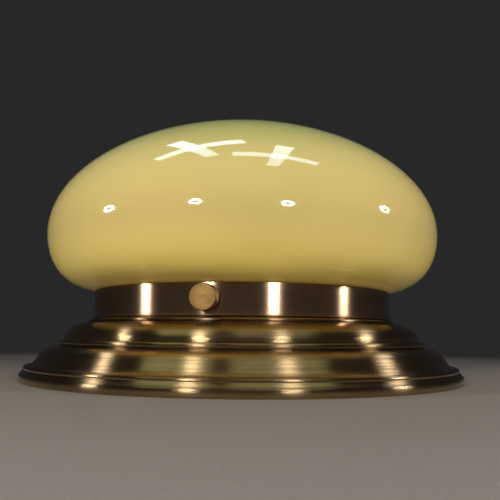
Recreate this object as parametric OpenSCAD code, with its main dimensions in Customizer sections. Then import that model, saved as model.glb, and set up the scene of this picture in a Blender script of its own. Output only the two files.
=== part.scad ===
// Ceiling lamp: a stepped brass canopy, a brass collar with three thumbscrews and an opal glass shade.
// It stands on the rim that goes against the ceiling, so +Z points from the ceiling to the shade's crown.

/* [Collar] */
// Outside radius of the upright brass collar
collar_r = 98.4; // [92:0.1:104]
// Height of the collar above the canopy's deck
collar_h = 18.5; // [17:0.1:24]
// Thickness of the collar's brass
collar_t = 1; // [0.7:0.1:1.3]
// Width of the flange that turns inwards at the collar's foot
collar_flange_w = 10.4; // [9:0.1:14]
// Outside radius of the bend at the collar's foot
collar_bend = 1.3; // [1.3:0.1:2]

/* [Canopy] */
// Thickness of the spun brass sheet
sheet_t = 1; // [0.7:0.1:1.2]
// Height of the upright band at the rim
rim_h = 5; // [4:0.1:7]
// Radius of the opening in the deck
deck_opening_r = 50; // [44:0.5:54]
// Width of deck left outside the collar, up to the neck bead's centre
deck_margin = 1.9; // [1.5:0.1:4]
// Inside radius of the small beads
bead_inner_r = 0.4; // [0.3:0.1:0.8]
// Width of the upper dome
dome_w = 12.9; // [10:0.1:16]
// Height of the upper dome
dome_h = 10.7; // [8:0.1:13]
// Width of the step between the two domes
step_w = 5.1; // [4.6:0.1:7]
// Height of the step between the two domes
step_h = 3.9; // [3.8:0.1:5]
// Width of the lower dome
skirt_w = 16; // [13:0.1:20]
// Height of the lower dome
skirt_h = 11.7; // [9:0.1:14]
// Width of the ledge between the rim band and the lower dome
ledge_w = 4.8; // [4.6:0.1:6]
// Height of the ledge between the rim band and the lower dome
ledge_h = 3.9; // [3.8:0.1:5]

/* [Shade] */
// Radius of the glass shade at its widest
glass_r = 129.35; // [124:0.1:138]
// Height of the shade above its widest circle
crown_h = 76.3; // [60:0.1:90]
// Depth of the shade below its widest circle
belly_h = 37.6; // [32:0.1:44]
// Thickness of the glass
glass_t = 3; // [2.5:0.1:4]
// Space between the collar's inside and the shade's neck
neck_gap = 5.9; // [5.6:0.1:8]
// Height of the lip at the end of the neck
lip_h = 3; // [2.6:0.1:4]
// How far the lip stands out from the neck
lip_w = 2.5; // [2:0.1:2.6]

/* [Thumbscrews] */
// Turn of the first thumbscrew from the front towards the left, in degrees
screw_turn = 10.5; // [0:0.5:30]
// Radius of the knob
knob_r = 7.1; // [6:0.1:7.6]
// Length of the knob
knob_len = 8; // [7:0.1:10]
// Space between the collar and the knob as photographed
knob_gap = 3.6; // [3.3:0.1:5]
// Radius of the threaded stud
stud_r = 2; // [1.8:0.05:2.2]
// Length of stud held in the knob
stud_grip = 5; // [4:0.1:6]
// Radius of the bush's flange inside the collar
bush_flange_r = 5.2; // [5:0.1:6]
// Thickness of the bush's flange
bush_flange_t = 1.5; // [1:0.1:1.8]
// Wall of the bush around the stud
bush_wall = 1.45; // [1:0.05:1.8]

/* [Ceiling strap] */
// Width of the steel strap
strap_w = 32; // [30:0.5:40]
// Thickness of the steel strap
strap_t = 2; // [1.5:0.1:2.5]
// Half the length of the raised middle of the strap
strap_raised_x = 74; // [73:0.5:80]
// Rise of the middle of the strap above its ends
strap_rise = 8.5; // [8:0.1:12]
// Half the length of the whole strap
strap_end_x = 112; // [110:0.5:118]
// Distance from the middle to each ceiling-screw slot
slot_x = 98; // [94:0.5:100]
// Length of each ceiling-screw slot
slot_len = 14; // [10:0.5:18]
// Radius of each slot's round ends
slot_r = 2.5; // [2.2:0.1:3]
// Distance from the middle to each canopy screw
canopy_screw_x = 66; // [63:0.5:68]
// Distance from the middle to the cable inlet
inlet_x = 40; // [38:0.5:41]
// Radius of the cable inlet's bore
inlet_r = 4; // [3.5:0.1:4.5]
// Distance from the middle to the earth screw
earth_x = 54; // [53.5:0.5:56]

/* [Lampholder] */
// Radius of the porcelain lampholder's foot
holder_r = 23.5; // [22:0.1:25]
// Height of the porcelain lampholder
holder_h = 43; // [40:0.5:50]
// Radius of the lampholder above its foot
holder_body_r = 20.5; // [19:0.1:22]
// Distance from the middle to each lampholder screw
holder_screw_y = 12; // [11:0.1:12.5]

/* [Bulb] */
// Radius of the bulb at its widest
bulb_r = 30; // [25:0.5:32]
// Length of the bulb from its contact to its top
bulb_len = 105; // [98:0.5:112]
// Thread pitch of the bulb's cap
cap_pitch = 3.62; // [3.5:0.01:3.7]
// Radius of the thread crests on the bulb's cap
cap_r = 13.2; // [12.9:0.05:13.3]

/* [Wiring] */
// Distance between the poles of the terminal block
pole_pitch = 9; // [8.5:0.1:9.5]
// Length of the terminal block along the wires
block_len = 18; // [17:0.1:20]
// Radius of the internal wires over their insulation
wire_r = 1.2; // [1:0.05:1.3]

/* [Hidden] */

brass = [0.66, 0.49, 0.26];
brushed_brass = [0.56, 0.41, 0.22];
bright_brass = [0.78, 0.62, 0.36];
steel = [0.62, 0.63, 0.64];
zinc = [0.70, 0.71, 0.72];
opal_yellow = [0.86, 0.80, 0.50];
porcelain = [0.93, 0.91, 0.86];
black_rubber = [0.08, 0.08, 0.08];
bronze = [0.72, 0.52, 0.30];
frosted_white = [0.93, 0.93, 0.90];
block_white = [0.90, 0.88, 0.80];
black_glass = [0.06, 0.06, 0.08];
clear_glass = [0.80, 0.88, 0.88];
lead_grey = [0.45, 0.45, 0.47];
live_brown = [0.35, 0.20, 0.12];
neutral_blue = [0.20, 0.34, 0.62];
earth_green = [0.55, 0.66, 0.20];

screw_count = 3;

eps = 0.01;
round_fn = 96;
small_fn = 40;
arc_step = 15;
seat_gap = 0.3;
hole_gap = 0.05;
bore_gap = 0.05;
cut_extra = 1;

// Helpers for outlines in the plane of radius and height

function reversed(p) = [for (i = [len(p) - 1 : -1 : 0]) p[i]];

function arc(centre, radius, from, to, step = arc_step) =
    let (n = max(2, ceil(abs(to - from) / step)))
    [for (i = [0 : n]) let (a = from + (to - from) * i / n) centre + radius * [cos(a), sin(a)]];

function bezier(p, n) =
    [for (i = [0 : n]) let (t = i / n, u = 1 - t)
        u * u * u * p[0] + 3 * u * u * t * p[1] + 3 * u * t * t * p[2] + t * t * t * p[3]];

// The outside lies on the right of an outline's direction.
function right_of(d) = [d.y, -d.x] / norm(d);

// An outline moved inwards by a wall's thickness, with sharp creases held to mitre_limit walls.
mitre_limit = 1.6;
function inset_path(p, wall) =
    [for (i = [0 : len(p) - 1])
        let (before = right_of(i == 0 ? p[1] - p[0] : p[i] - p[i - 1]))
        let (after = right_of(i == len(p) - 1 ? p[i] - p[i - 1] : p[i + 1] - p[i]))
        let (mitre = (before + after) / norm(before + after))
        let (q = p[i] - mitre * wall * min(mitre_limit, 1 / (mitre * before)))
        [max(0, q.x), q.y]];

// Heights of the canopy, from the rim upwards
skirt_foot_z = rim_h + ledge_h;
skirt_top_z = skirt_foot_z + skirt_h;
dome_foot_z = skirt_top_z + step_h;
dome_top_z = dome_foot_z + dome_h;
bead_r = sheet_t + bead_inner_r;
neck_bead_rise = 1;
neck_bead_z = dome_top_z + neck_bead_rise;
deck_z = neck_bead_z + bead_r;

// Radii of the canopy, from the collar outwards
neck_bead_r = collar_r + deck_margin;
neck_bead_overlap = 2.7;
dome_top_r = neck_bead_r + neck_bead_overlap;
dome_foot_r = dome_top_r + dome_w;
skirt_top_r = dome_foot_r + step_w;
skirt_foot_r = skirt_top_r + skirt_w;
rim_r = skirt_foot_r + ledge_w;
rim_round = sheet_t + 0.3;

// The convex band on the step
band_round = 1.85;
band_reach = 1.3;
band_centre = [skirt_top_r - band_reach - band_round, skirt_top_z + 2.1];

// The round bead at the foot of the lower dome
foot_bead_centre = [skirt_foot_r + 0.9, skirt_foot_z - 1.2];

// The lower dome's ogee, hollow at its foot and full at its shoulder
ogee_foot_pull = 6.5;
ogee_top_pull = 10.5;
ogee = [
    [skirt_foot_r, skirt_foot_z],
    [skirt_foot_r - ogee_foot_pull, skirt_foot_z + 1.4],
    [skirt_top_r + ogee_top_pull, skirt_top_z - 0.2],
    [skirt_top_r, skirt_top_z]
];

canopy_outline = concat(
    [[rim_r, 0]],
    arc([rim_r - rim_round, rim_h - rim_round], rim_round, 0, 65),
    arc(foot_bead_centre, bead_r, -25, 115),
    bezier(ogee, 14),
    [[skirt_top_r - band_reach - 0.7, skirt_top_z + 0.1]],
    arc(band_centre, band_round, -52, 70),
    [for (a = [0 : 7.5 : 90])
        [dome_top_r + dome_w * cos(a), dome_foot_z + dome_h * sin(a)]],
    arc([neck_bead_r, neck_bead_z], bead_r, -45, 90),
    [[deck_opening_r, deck_z]]
);

// Collar
collar_in_r = collar_r - collar_t;
collar_top_z = deck_z + collar_h;
collar_edge_round = 0.35;
flange_in_r = collar_r - collar_flange_w;
flange_top_z = deck_z + collar_t;

// Rivets that hold the collar's flange to the deck
rivet_r = 1.6;
rivet_head_r = 3;
rivet_head_h = 1.3;
rivet_place_r = (flange_in_r + collar_in_r) / 2;

// Shade
crown_power = 1.872;
belly_power = 8.81;
neck_r = collar_in_r - neck_gap;
lip_r = neck_r + lip_w;
lip_air = 3;
lip_z = flange_top_z + lip_air;
lip_round = 1.1;
neck_fillet = 3;
function belly_depth(r) = belly_h * sqrt(1 - pow(r / glass_r, belly_power));
equator_z = collar_top_z + seat_gap + belly_depth(collar_in_r);
fillet_end_r = neck_r + neck_fillet;
fillet_end_z = equator_z - belly_depth(fillet_end_r);
belly_start = acos(pow(fillet_end_r / glass_r, belly_power / 2));

shell_outline = concat(
    [[neck_r, lip_z + lip_h]],
    arc([fillet_end_r, fillet_end_z - neck_fillet], neck_fillet, 180, 100),
    [for (i = [0 : 20]) let (a = belly_start * (1 - i / 20))
        [glass_r * pow(cos(a), 2 / belly_power), equator_z - belly_h * sin(a)]],
    [for (i = [1 : 24]) let (a = 90 * i / 24)
        [glass_r * pow(cos(a), 2 / crown_power), equator_z + crown_h * sin(a)]]
);
lip_outline = concat(
    [[neck_r - glass_t, lip_z]],
    arc([lip_r - lip_round, lip_z + lip_round], lip_round, -90, 0),
    arc([lip_r - lip_round, lip_z + lip_h - lip_round], lip_round, 0, 90)
);

// Thumbscrews
lip_to_screw = 1;
screw_z = lip_z + lip_h + lip_to_screw + stud_r;
tip_gap = 0.6;
tip_r = lip_r + tip_gap;
tip_bevel = 0.4;
knob_back_r = collar_r + knob_gap;
knob_face_r = knob_back_r + knob_len;
knob_bevel = 0.45;
pip_r = 0.55;
pip_depth = 0.4;
stud_end_r = knob_back_r + stud_grip;
bush_r = stud_r + bore_gap + bush_wall;
bush_proud = 0.5;
bush_flange_out_r = sqrt(collar_in_r * collar_in_r - bush_flange_r * bush_flange_r) - hole_gap;
bush_flange_in_r = bush_flange_out_r - bush_flange_t;

// Strap
strap_gap = 0.5;
strap_end_top_z = strap_gap + strap_t;
strap_top_z = strap_end_top_z + strap_rise;
strap_under_z = strap_top_z - strap_t;
strap_bend_w = 6;
strap_corner_r = 6;

// Fasteners with a four millimetre thread
m4_r = 2;
m4_hole_r = m4_r + 0.1;
m4_head_r = 3.8;
m4_head_h = 2.6;
m4_flats_r = 4.04;
m4_nut_h = 3.2;
m4_cheese_r = 3.4;
driver_slot_w = 1;
driver_slot_depth = 1;
nut_thread_spare = 0.5;
washer_r = 4.5;
washer_t = 0.8;
cap_nut_h = 8;
cap_nut_thread = 5;
dome_nut_r = 3.3;

// Cable inlet
grommet_wall = 1.6;
grommet_flange_w = 2.4;
grommet_flange_t = 1.6;
inlet_hole_r = inlet_r + grommet_wall;

// Lampholder
holder_z = strap_top_z;
holder_top_z = holder_z + holder_h;
holder_foot_h = 13;
socket_floor_z = holder_z + 16;
socket_r = cap_r + 1.6;
shell_t = 0.35;
thread_turns = 5;
thread_depth = 0.9;
shell_crest_r = cap_r + 0.25;
shell_bottom_z = socket_floor_z + 4;
shell_top_z = shell_bottom_z + (thread_turns + 0.5) * cap_pitch;
shell_hole_r = 6;
m3_r = 1.5;
m3_hole_r = m3_r + 0.1;
m3_head_r = 2.8;
m3_head_h = 2;
holder_screw_depth = 9;
contact_w = 6;
contact_t = 0.5;
contact_rise = 2.2;

// Bulb
bulb_z = socket_floor_z + contact_t + contact_rise + seat_gap;
bulb_contact_h = 1.2;
bulb_contact_r = 4.5;
insulator_h = 2;
insulator_face_r = 5.2;
cap_hole_r = 4;
cap_z = bulb_z + bulb_contact_h + insulator_h;
cap_thread_h = thread_turns * cap_pitch;
cap_collar_h = 5;
cap_top_z = cap_z + cap_thread_h + cap_collar_h;
cap_t = 0.35;
bulb_top_z = bulb_z + bulb_len;
bulb_glass_t = 0.8;
bulb_neck_r = cap_r - cap_t - 0.15;
bulb_centre_z = bulb_top_z - bulb_r;
bulb_join = -35;
bulb_join_at = [bulb_r * cos(bulb_join), bulb_centre_z + bulb_r * sin(bulb_join)];
bulb_join_along = [-sin(bulb_join), cos(bulb_join)];
bulb_outline = concat(
    [[bulb_neck_r, cap_top_z - 3]],
    bezier([
        [bulb_neck_r, cap_top_z],
        [bulb_neck_r, cap_top_z + 13],
        bulb_join_at - 12 * bulb_join_along,
        bulb_join_at
    ], 14),
    [for (a = [bulb_join + 5 : 5 : 90]) [bulb_r * cos(a), bulb_centre_z + bulb_r * sin(a)]]
);
stem_z = cap_top_z + 2;
stem_h = 22;
stem_press_z = stem_z + stem_h;
stem_press_r = 2.2;
stem_neck_r = 4;
stem_taper_h = 8;
stem_bore_r = 2.8;
stem_bore_taper_h = 9;
stem_flare_r = bulb_neck_r - bulb_glass_t - 0.3;
filament_z = bulb_centre_z - 2;
filament_reach = 11;
filament_r = 0.35;
lead_start_z = stem_press_z + 0.9;
lead_bend_z = stem_press_z + 5;

// Terminal block and wires
block_x = -(holder_r + 9.5 + block_len);
block_mid_x = block_x + block_len / 2;
block_w = 3 * pole_pitch + 2;
block_h = 13;
block_base_h = 2.4;
block_screw_r = 1.2;
block_screw_hole_r = block_screw_r + 0.1;
block_screw_spare = 1.5;
block_screw_head_r = 1.85;
block_screw_head_h = 1.6;
block_screw_y = pole_pitch / 2;
block_tower_w = pole_pitch - 1.5;
pole_z = strap_top_z + 6.5;
insert_r = 2.5;
insert_bore_r = 1.7;
insert_len = block_len - 2;
clamp_r = 1.3;
clamp_x = 4.5;
clamp_slot_w = 0.5;
clamp_slot_depth = 0.8;
clamp_top_z = strap_top_z + block_h - 1.2;
well_r = 1.9;
wire_grip = 4;
holder_wire_r = wire_r + 0.35;
holder_wire_depth = 5;

// The wires' routes are points chosen by hand, from the terminal block to their far ends.
wire_start_x = block_x + block_len - 1 - wire_grip;
wire_out_x = block_x + block_len + 1;
holder_wire_y = 7;
holder_hole_x = -sqrt(holder_r * holder_r - holder_wire_y * holder_wire_y);
holder_wire_end_x = holder_hole_x + holder_wire_depth - 1;
live_route = [
    [wire_start_x, -pole_pitch, pole_z],
    [wire_out_x, -pole_pitch, pole_z],
    [wire_out_x + 2.5, -pole_pitch - 0.6, pole_z + 1],
    [holder_hole_x - 2.5, -holder_wire_y - 0.6, pole_z + 1],
    [holder_hole_x, -holder_wire_y, pole_z],
    [holder_wire_end_x, -holder_wire_y, pole_z]
];
neutral_route = [
    [wire_start_x, 0, pole_z],
    [wire_out_x, 0, pole_z],
    [wire_out_x + 2.5, 2, pole_z + 1],
    [holder_hole_x - 2.5, holder_wire_y - 1, pole_z + 1],
    [holder_hole_x, holder_wire_y, pole_z],
    [holder_wire_end_x, holder_wire_y, pole_z]
];
lug_barrel_y = 6.2;
lug_barrel_len = 5;
lug_neck_w = 3.2;
lug_t = 0.8;
lug_wall = 0.6;
lug_z = strap_top_z + lug_t / 2 + wire_r + lug_wall;
earth_route = [
    [wire_start_x, pole_pitch, pole_z],
    [wire_out_x, pole_pitch, pole_z],
    [wire_out_x + 1.5, pole_pitch + 2, pole_z + 1],
    [wire_out_x + 4, pole_pitch + 9, pole_z + 3],
    [-20, 25, pole_z + 5],
    [-8, 31, pole_z + 5],
    [8, 33, pole_z + 4],
    [24, 31, pole_z + 2],
    [38, 27, pole_z],
    [48, 22, pole_z - 1],
    [earth_x - 1, 17, lug_z + 1],
    [earth_x, 13, lug_z],
    [earth_x, lug_barrel_y + 1, lug_z]
];
wire_sides = 8;

function screw_angle(i) = 270 - screw_turn + (i - 1) * 360 / screw_count;

// A rod from one radius to another along the spoke at a thumbscrew
module spoke(i, from_r, to_r, radius, fn = small_fn) {
    rotate([0, 0, screw_angle(i)])
        translate([from_r, 0, screw_z])
            rotate([0, 90, 0])
                cylinder(h = to_r - from_r, r = radius, $fn = fn);
}

module peg(x, y, z, h, radius, fn = small_fn) {
    translate([x, y, z])
        cylinder(h = h, r = radius, $fn = fn);
}

// Rings of points square to a smooth route, and the tube that joins them
function unit(v) = v / norm(v);
function route_dir(p, i) = unit(p[min(i + 1, len(p) - 1)] - p[max(i - 1, 0)]);
function smooth_once(p) = concat(
    [p[0]],
    [for (i = [0 : len(p) - 2]) each [p[i] * 0.75 + p[i + 1] * 0.25, p[i] * 0.25 + p[i + 1] * 0.75]],
    [p[len(p) - 1]]
);
function ring_at(c, d, radius) =
    let (side = unit(cross(d, abs(d.z) > 0.9 ? [1, 0, 0] : [0, 0, 1])))
    let (up = cross(side, d))
    [for (k = [0 : wire_sides - 1]) let (a = 360 * k / wire_sides)
        c + radius * (cos(a) * side + sin(a) * up)];

module tube_along(points, radius) {
    p = smooth_once(points);
    n = len(p);
    rings = [for (i = [0 : n - 1]) each ring_at(p[i], route_dir(p, i), radius)];
    walls = [for (i = [0 : n - 2]) for (k = [0 : wire_sides - 1])
        let (a = i * wire_sides + k, b = i * wire_sides + (k + 1) % wire_sides)
        each [[a, b, b + wire_sides], [a, b + wire_sides, a + wire_sides]]];
    first = [for (k = [0 : wire_sides - 1]) wire_sides - 1 - k];
    last = [for (k = [0 : wire_sides - 1]) (n - 1) * wire_sides + k];
    polyhedron(points = rings, faces = concat([first], walls, [last]));
}

module canopy() {
    hole_z = deck_z - sheet_t - cut_extra;
    hole_h = sheet_t + 2 * cut_extra;
    color(brass)
        difference() {
            rotate_extrude($fn = round_fn)
                polygon(concat(canopy_outline, reversed(inset_path(canopy_outline, sheet_t))));
            for (side = [-1, 1])
                peg(side * canopy_screw_x, 0, hole_z, hole_h, m4_hole_r);
            for (i = [1 : screw_count])
                rotate([0, 0, screw_angle(i) + 180 / screw_count])
                    peg(rivet_place_r, 0, hole_z, hole_h, rivet_r + hole_gap);
        }
}

module collar_ring() {
    outline = concat(
        [[flange_in_r, deck_z]],
        arc([collar_r - collar_bend, deck_z + collar_bend], collar_bend, -90, 0),
        arc([collar_r - collar_edge_round, collar_top_z - collar_edge_round], collar_edge_round, 0, 90, 30),
        [[collar_in_r, collar_top_z]],
        arc([collar_r - collar_bend, deck_z + collar_bend], collar_bend - collar_t, 0, -90, 30),
        [[flange_in_r, flange_top_z]]
    );
    color(brushed_brass)
        difference() {
            rotate_extrude($fn = round_fn)
                polygon(outline);
            for (i = [1 : screw_count]) {
                spoke(i, collar_in_r - cut_extra, collar_r + cut_extra, bush_r + hole_gap);
                rotate([0, 0, screw_angle(i) + 180 / screw_count])
                    peg(rivet_place_r, 0, deck_z - cut_extra, collar_t + 2 * cut_extra, rivet_r + hole_gap);
            }
        }
}

// A round-headed rivet, closed under the deck and on top of the flange
module collar_rivets() {
    color(bright_brass)
        for (i = [1 : screw_count])
            rotate([0, 0, screw_angle(i) + 180 / screw_count])
                translate([rivet_place_r, 0, 0])
                    rotate_extrude($fn = small_fn)
                        polygon(concat(
                            [[0, deck_z - sheet_t - rivet_head_h]],
                            [[rivet_head_r * 0.6, deck_z - sheet_t - rivet_head_h]],
                            [[rivet_head_r, deck_z - sheet_t]],
                            [[rivet_r, deck_z - sheet_t], [rivet_r, flange_top_z]],
                            [for (a = [0 : arc_step : 90])
                                [rivet_head_r * cos(a), flange_top_z + rivet_head_h * sin(a)]]
                        ));
}

module thread_bushes() {
    color(bright_brass)
        for (i = [1 : screw_count])
            difference() {
                union() {
                    spoke(i, bush_flange_in_r, bush_flange_out_r, bush_flange_r);
                    spoke(i, bush_flange_out_r - eps, collar_r + bush_proud, bush_r);
                }
                spoke(i, bush_flange_in_r - cut_extra, collar_r + bush_proud + cut_extra, stud_r + bore_gap);
            }
}

module thumbscrew_knob(i) {
    color(bright_brass)
        rotate([0, 0, screw_angle(i)])
            translate([0, 0, screw_z])
                rotate([0, 90, 0])
                    rotate_extrude($fn = round_fn)
                        polygon([
                            [stud_r + bore_gap, knob_back_r],
                            [knob_r - knob_bevel, knob_back_r],
                            [knob_r, knob_back_r + knob_bevel],
                            [knob_r, knob_face_r - knob_bevel],
                            [knob_r - knob_bevel, knob_face_r],
                            [pip_r, knob_face_r],
                            [0, knob_face_r - pip_depth],
                            [0, stud_end_r + seat_gap],
                            [stud_r + bore_gap, stud_end_r + seat_gap]
                        ]);
}

module thumbscrew_stud(i) {
    color(steel)
        rotate([0, 0, screw_angle(i)])
            translate([0, 0, screw_z])
                rotate([0, 90, 0])
                    rotate_extrude($fn = small_fn)
                        polygon([
                            [0, tip_r],
                            [stud_r - tip_bevel, tip_r],
                            [stud_r, tip_r + tip_bevel],
                            [stud_r, stud_end_r],
                            [0, stud_end_r]
                        ]);
}

module glass_shade() {
    color(opal_yellow)
        rotate_extrude($fn = round_fn)
            polygon(concat(lip_outline, shell_outline, reversed(inset_path(shell_outline, glass_t))));
}

// A flat bar whose middle is bent up to leave room for nuts, screw heads and the cable
module mounting_strap() {
    side_view = [
        [-strap_end_x, strap_gap], [-strap_raised_x - strap_bend_w, strap_gap],
        [-strap_raised_x, strap_under_z], [strap_raised_x, strap_under_z],
        [strap_raised_x + strap_bend_w, strap_gap], [strap_end_x, strap_gap],
        [strap_end_x, strap_end_top_z], [strap_raised_x + strap_bend_w, strap_end_top_z],
        [strap_raised_x, strap_top_z], [-strap_raised_x, strap_top_z],
        [-strap_raised_x - strap_bend_w, strap_end_top_z], [-strap_end_x, strap_end_top_z]
    ];
    hole_z = strap_under_z - cut_extra;
    hole_h = strap_t + 2 * cut_extra;
    color(steel)
        difference() {
            rotate([90, 0, 0])
                linear_extrude(strap_w, center = true)
                    polygon(side_view);
            for (side = [-1, 1]) {
                translate([side * slot_x, 0, strap_gap - cut_extra])
                    union() {
                        for (end = [-1, 1])
                            peg(end * (slot_len / 2 - slot_r), 0, 0, strap_t + 2 * cut_extra, slot_r);
                        translate([-(slot_len / 2 - slot_r), -slot_r, 0])
                            cube([slot_len - 2 * slot_r, 2 * slot_r, strap_t + 2 * cut_extra]);
                    }
                peg(side * canopy_screw_x, 0, hole_z, hole_h, m4_hole_r);
                peg(0, side * holder_screw_y, hole_z, hole_h, m3_hole_r);
                for (way = [-1, 1])
                    translate([side * strap_end_x, way * strap_w / 2, strap_gap - cut_extra])
                        rotate([0, 0, 45])
                            translate([-strap_corner_r / 2, -strap_corner_r / 2, 0])
                                cube([strap_corner_r, strap_corner_r, strap_t + 2 * cut_extra]);
            }
            peg(inlet_x, 0, hole_z, hole_h, inlet_hole_r);
            peg(earth_x, 0, hole_z, hole_h, m4_hole_r);
            peg(block_mid_x, block_screw_y, hole_z, hole_h, block_screw_hole_r);
        }
}

// The cutter for a screwdriver's slot, both above and below the face of the head
module driver_slot(head_r) {
    translate([-head_r - cut_extra, -driver_slot_w / 2, -driver_slot_depth])
        cube([2 * (head_r + cut_extra), driver_slot_w, 2 * driver_slot_depth]);
}

module canopy_screws() {
    color(zinc)
        for (side = [-1, 1])
            difference() {
                union() {
                    peg(side * canopy_screw_x, 0, strap_under_z - m4_head_h, m4_head_h, m4_head_r);
                    peg(side * canopy_screw_x, 0, strap_under_z - eps,
                        deck_z + washer_t + cap_nut_thread - strap_under_z, m4_r);
                }
                translate([side * canopy_screw_x, 0, strap_under_z - m4_head_h])
                    driver_slot(m4_head_r);
            }
}

module hex_nut(x, y, z) {
    difference() {
        peg(x, y, z, m4_nut_h, m4_flats_r, 6);
        peg(x, y, z - cut_extra, m4_nut_h + 2 * cut_extra, m4_r + hole_gap);
    }
}

module strap_lock_nuts() {
    color(zinc)
        for (side = [-1, 1])
            hex_nut(side * canopy_screw_x, 0, strap_top_z);
}

module canopy_washers() {
    color(brass)
        for (side = [-1, 1])
            difference() {
                peg(side * canopy_screw_x, 0, deck_z, washer_t, washer_r);
                peg(side * canopy_screw_x, 0, deck_z - cut_extra, washer_t + 2 * cut_extra, m4_hole_r);
            }
}

module canopy_cap_nuts() {
    nut_z = deck_z + washer_t;
    color(bright_brass)
        for (side = [-1, 1])
            difference() {
                union() {
                    peg(side * canopy_screw_x, 0, nut_z, cap_nut_h - dome_nut_r, m4_flats_r, 6);
                    translate([side * canopy_screw_x, 0, nut_z + cap_nut_h - dome_nut_r])
                        intersection() {
                            sphere(r = dome_nut_r, $fn = small_fn);
                            translate([-dome_nut_r, -dome_nut_r, -eps])
                                cube([2 * dome_nut_r, 2 * dome_nut_r, dome_nut_r + eps]);
                        }
                }
                peg(side * canopy_screw_x, 0, nut_z - cut_extra,
                    cap_nut_thread + nut_thread_spare + cut_extra, m4_r + hole_gap);
            }
}

// Rubber ring that grips the strap's edge and guides the mains cable
module cable_grommet() {
    flange_r = inlet_hole_r + grommet_flange_w;
    low_z = strap_under_z - grommet_flange_t;
    high_z = strap_top_z + grommet_flange_t;
    color(black_rubber)
        translate([inlet_x, 0, 0])
            rotate_extrude($fn = small_fn)
                polygon([
                    [inlet_r, low_z], [flange_r, low_z], [flange_r, strap_under_z],
                    [inlet_hole_r, strap_under_z], [inlet_hole_r, strap_top_z],
                    [flange_r, strap_top_z], [flange_r, high_z], [inlet_r, high_z]
                ]);
}

module earth_screw() {
    head_z = strap_top_z + lug_t;
    screw_end_z = strap_under_z - m4_nut_h - 0.6;
    color(bright_brass)
        difference() {
            union() {
                peg(earth_x, 0, head_z, m4_head_h, m4_cheese_r);
                peg(earth_x, 0, screw_end_z, head_z - screw_end_z + eps, m4_r);
            }
            translate([earth_x, 0, head_z + m4_head_h])
                driver_slot(m4_cheese_r);
        }
}

module earth_nut() {
    color(zinc)
        hex_nut(earth_x, 0, strap_under_z - m4_nut_h);
}

// Ring tag under the earth screw, with a barrel crimped round the wire
module earth_lug() {
    color(zinc)
        difference() {
            union() {
                peg(earth_x, 0, strap_top_z, lug_t, m4_head_r);
                translate([earth_x - lug_neck_w / 2, 0, strap_top_z])
                    cube([lug_neck_w, lug_barrel_y + 1, lug_t]);
                translate([earth_x, lug_barrel_y, lug_z])
                    rotate([-90, 0, 0])
                        cylinder(h = lug_barrel_len, r = wire_r + lug_wall, $fn = small_fn);
            }
            peg(earth_x, 0, strap_top_z - cut_extra, lug_t + 2 * cut_extra, m4_hole_r);
            translate([earth_x, lug_barrel_y - cut_extra, lug_z])
                rotate([-90, 0, 0])
                    cylinder(h = lug_barrel_len + 2 * cut_extra, r = wire_r + 0.1, $fn = small_fn);
        }
}

// Porcelain cup with a wide foot, a socket for the threaded shell and two wire holes
module lampholder_body() {
    foot_z = holder_z + holder_foot_h;
    color(porcelain)
        difference() {
            rotate_extrude($fn = round_fn)
                polygon([
                    [0, holder_z], [holder_r, holder_z], [holder_r, foot_z - 2],
                    [holder_r - 1, foot_z], [holder_body_r, foot_z + 3],
                    [holder_body_r, holder_top_z - 2], [holder_body_r - 2, holder_top_z],
                    [socket_r, holder_top_z], [socket_r, socket_floor_z], [0, socket_floor_z]
                ]);
            for (side = [-1, 1]) {
                peg(0, side * holder_screw_y, holder_z - cut_extra,
                    holder_screw_depth + cut_extra, m3_hole_r);
                translate([-holder_r - cut_extra, side * holder_wire_y, pole_z])
                    rotate([0, 90, 0])
                        cylinder(h = holder_hole_x + holder_wire_depth + holder_r + cut_extra,
                            r = holder_wire_r, $fn = small_fn);
            }
        }
}

// Round-crested thread rings one pitch apart, as a list of radius and height
function knuckles(crest_r, low_z, turns, outward) =
    [for (i = [0 : 6 * turns])
        [crest_r - outward * thread_depth / 2 * (1 - cos(60 * i)), low_z + cap_pitch * i / 6]];

module lampholder_shell() {
    inner = knuckles(shell_crest_r, shell_bottom_z, thread_turns + 0.5, -1);
    outer = [for (p = inner) p + [shell_t, 0]];
    color(brass)
        rotate_extrude($fn = small_fn)
            polygon(concat(
                [[shell_hole_r, shell_bottom_z - shell_t]],
                [[shell_crest_r + shell_t, shell_bottom_z - shell_t]],
                outer,
                reversed(inner),
                [[shell_hole_r, shell_bottom_z]]
            ));
}

// Springy bronze tongue on the socket's floor
module lampholder_contact() {
    reach = socket_r - 3.5;
    color(bronze)
        translate([0, contact_w / 2, socket_floor_z])
            rotate([90, 0, 0])
                linear_extrude(contact_w)
                    polygon([
                        [-reach, 0], [-reach / 2, 0], [0, contact_rise], [2, contact_rise],
                        [2, contact_rise + contact_t], [-0.3, contact_rise + contact_t],
                        [-reach / 2 - 0.2, contact_t], [-reach, contact_t]
                    ]);
}

module lampholder_screws() {
    color(zinc)
        for (side = [-1, 1]) {
            peg(0, side * holder_screw_y, strap_under_z - m3_head_h, m3_head_h, m3_head_r);
            peg(0, side * holder_screw_y, strap_under_z - eps,
                strap_t + holder_screw_depth - 1 + eps, m3_r);
        }
}

module bulb_glass() {
    color(frosted_white)
        rotate_extrude($fn = round_fn)
            polygon(concat(bulb_outline, reversed(inset_path(bulb_outline, bulb_glass_t))));
}

module bulb_cap() {
    thread_top_z = cap_z + cap_thread_h;
    outer = knuckles(cap_r, cap_z, thread_turns, 1);
    inner = [for (p = outer) p - [cap_t, 0]];
    color(zinc)
        rotate_extrude($fn = small_fn)
            polygon(concat(
                [[cap_hole_r, cap_z - cap_t], [cap_r - 1.5, cap_z - cap_t]],
                outer,
                [[cap_r, cap_top_z], [cap_r - cap_t, cap_top_z], [cap_r - cap_t, thread_top_z]],
                reversed(inner),
                [[cap_hole_r, cap_z]]
            ));
}

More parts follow.
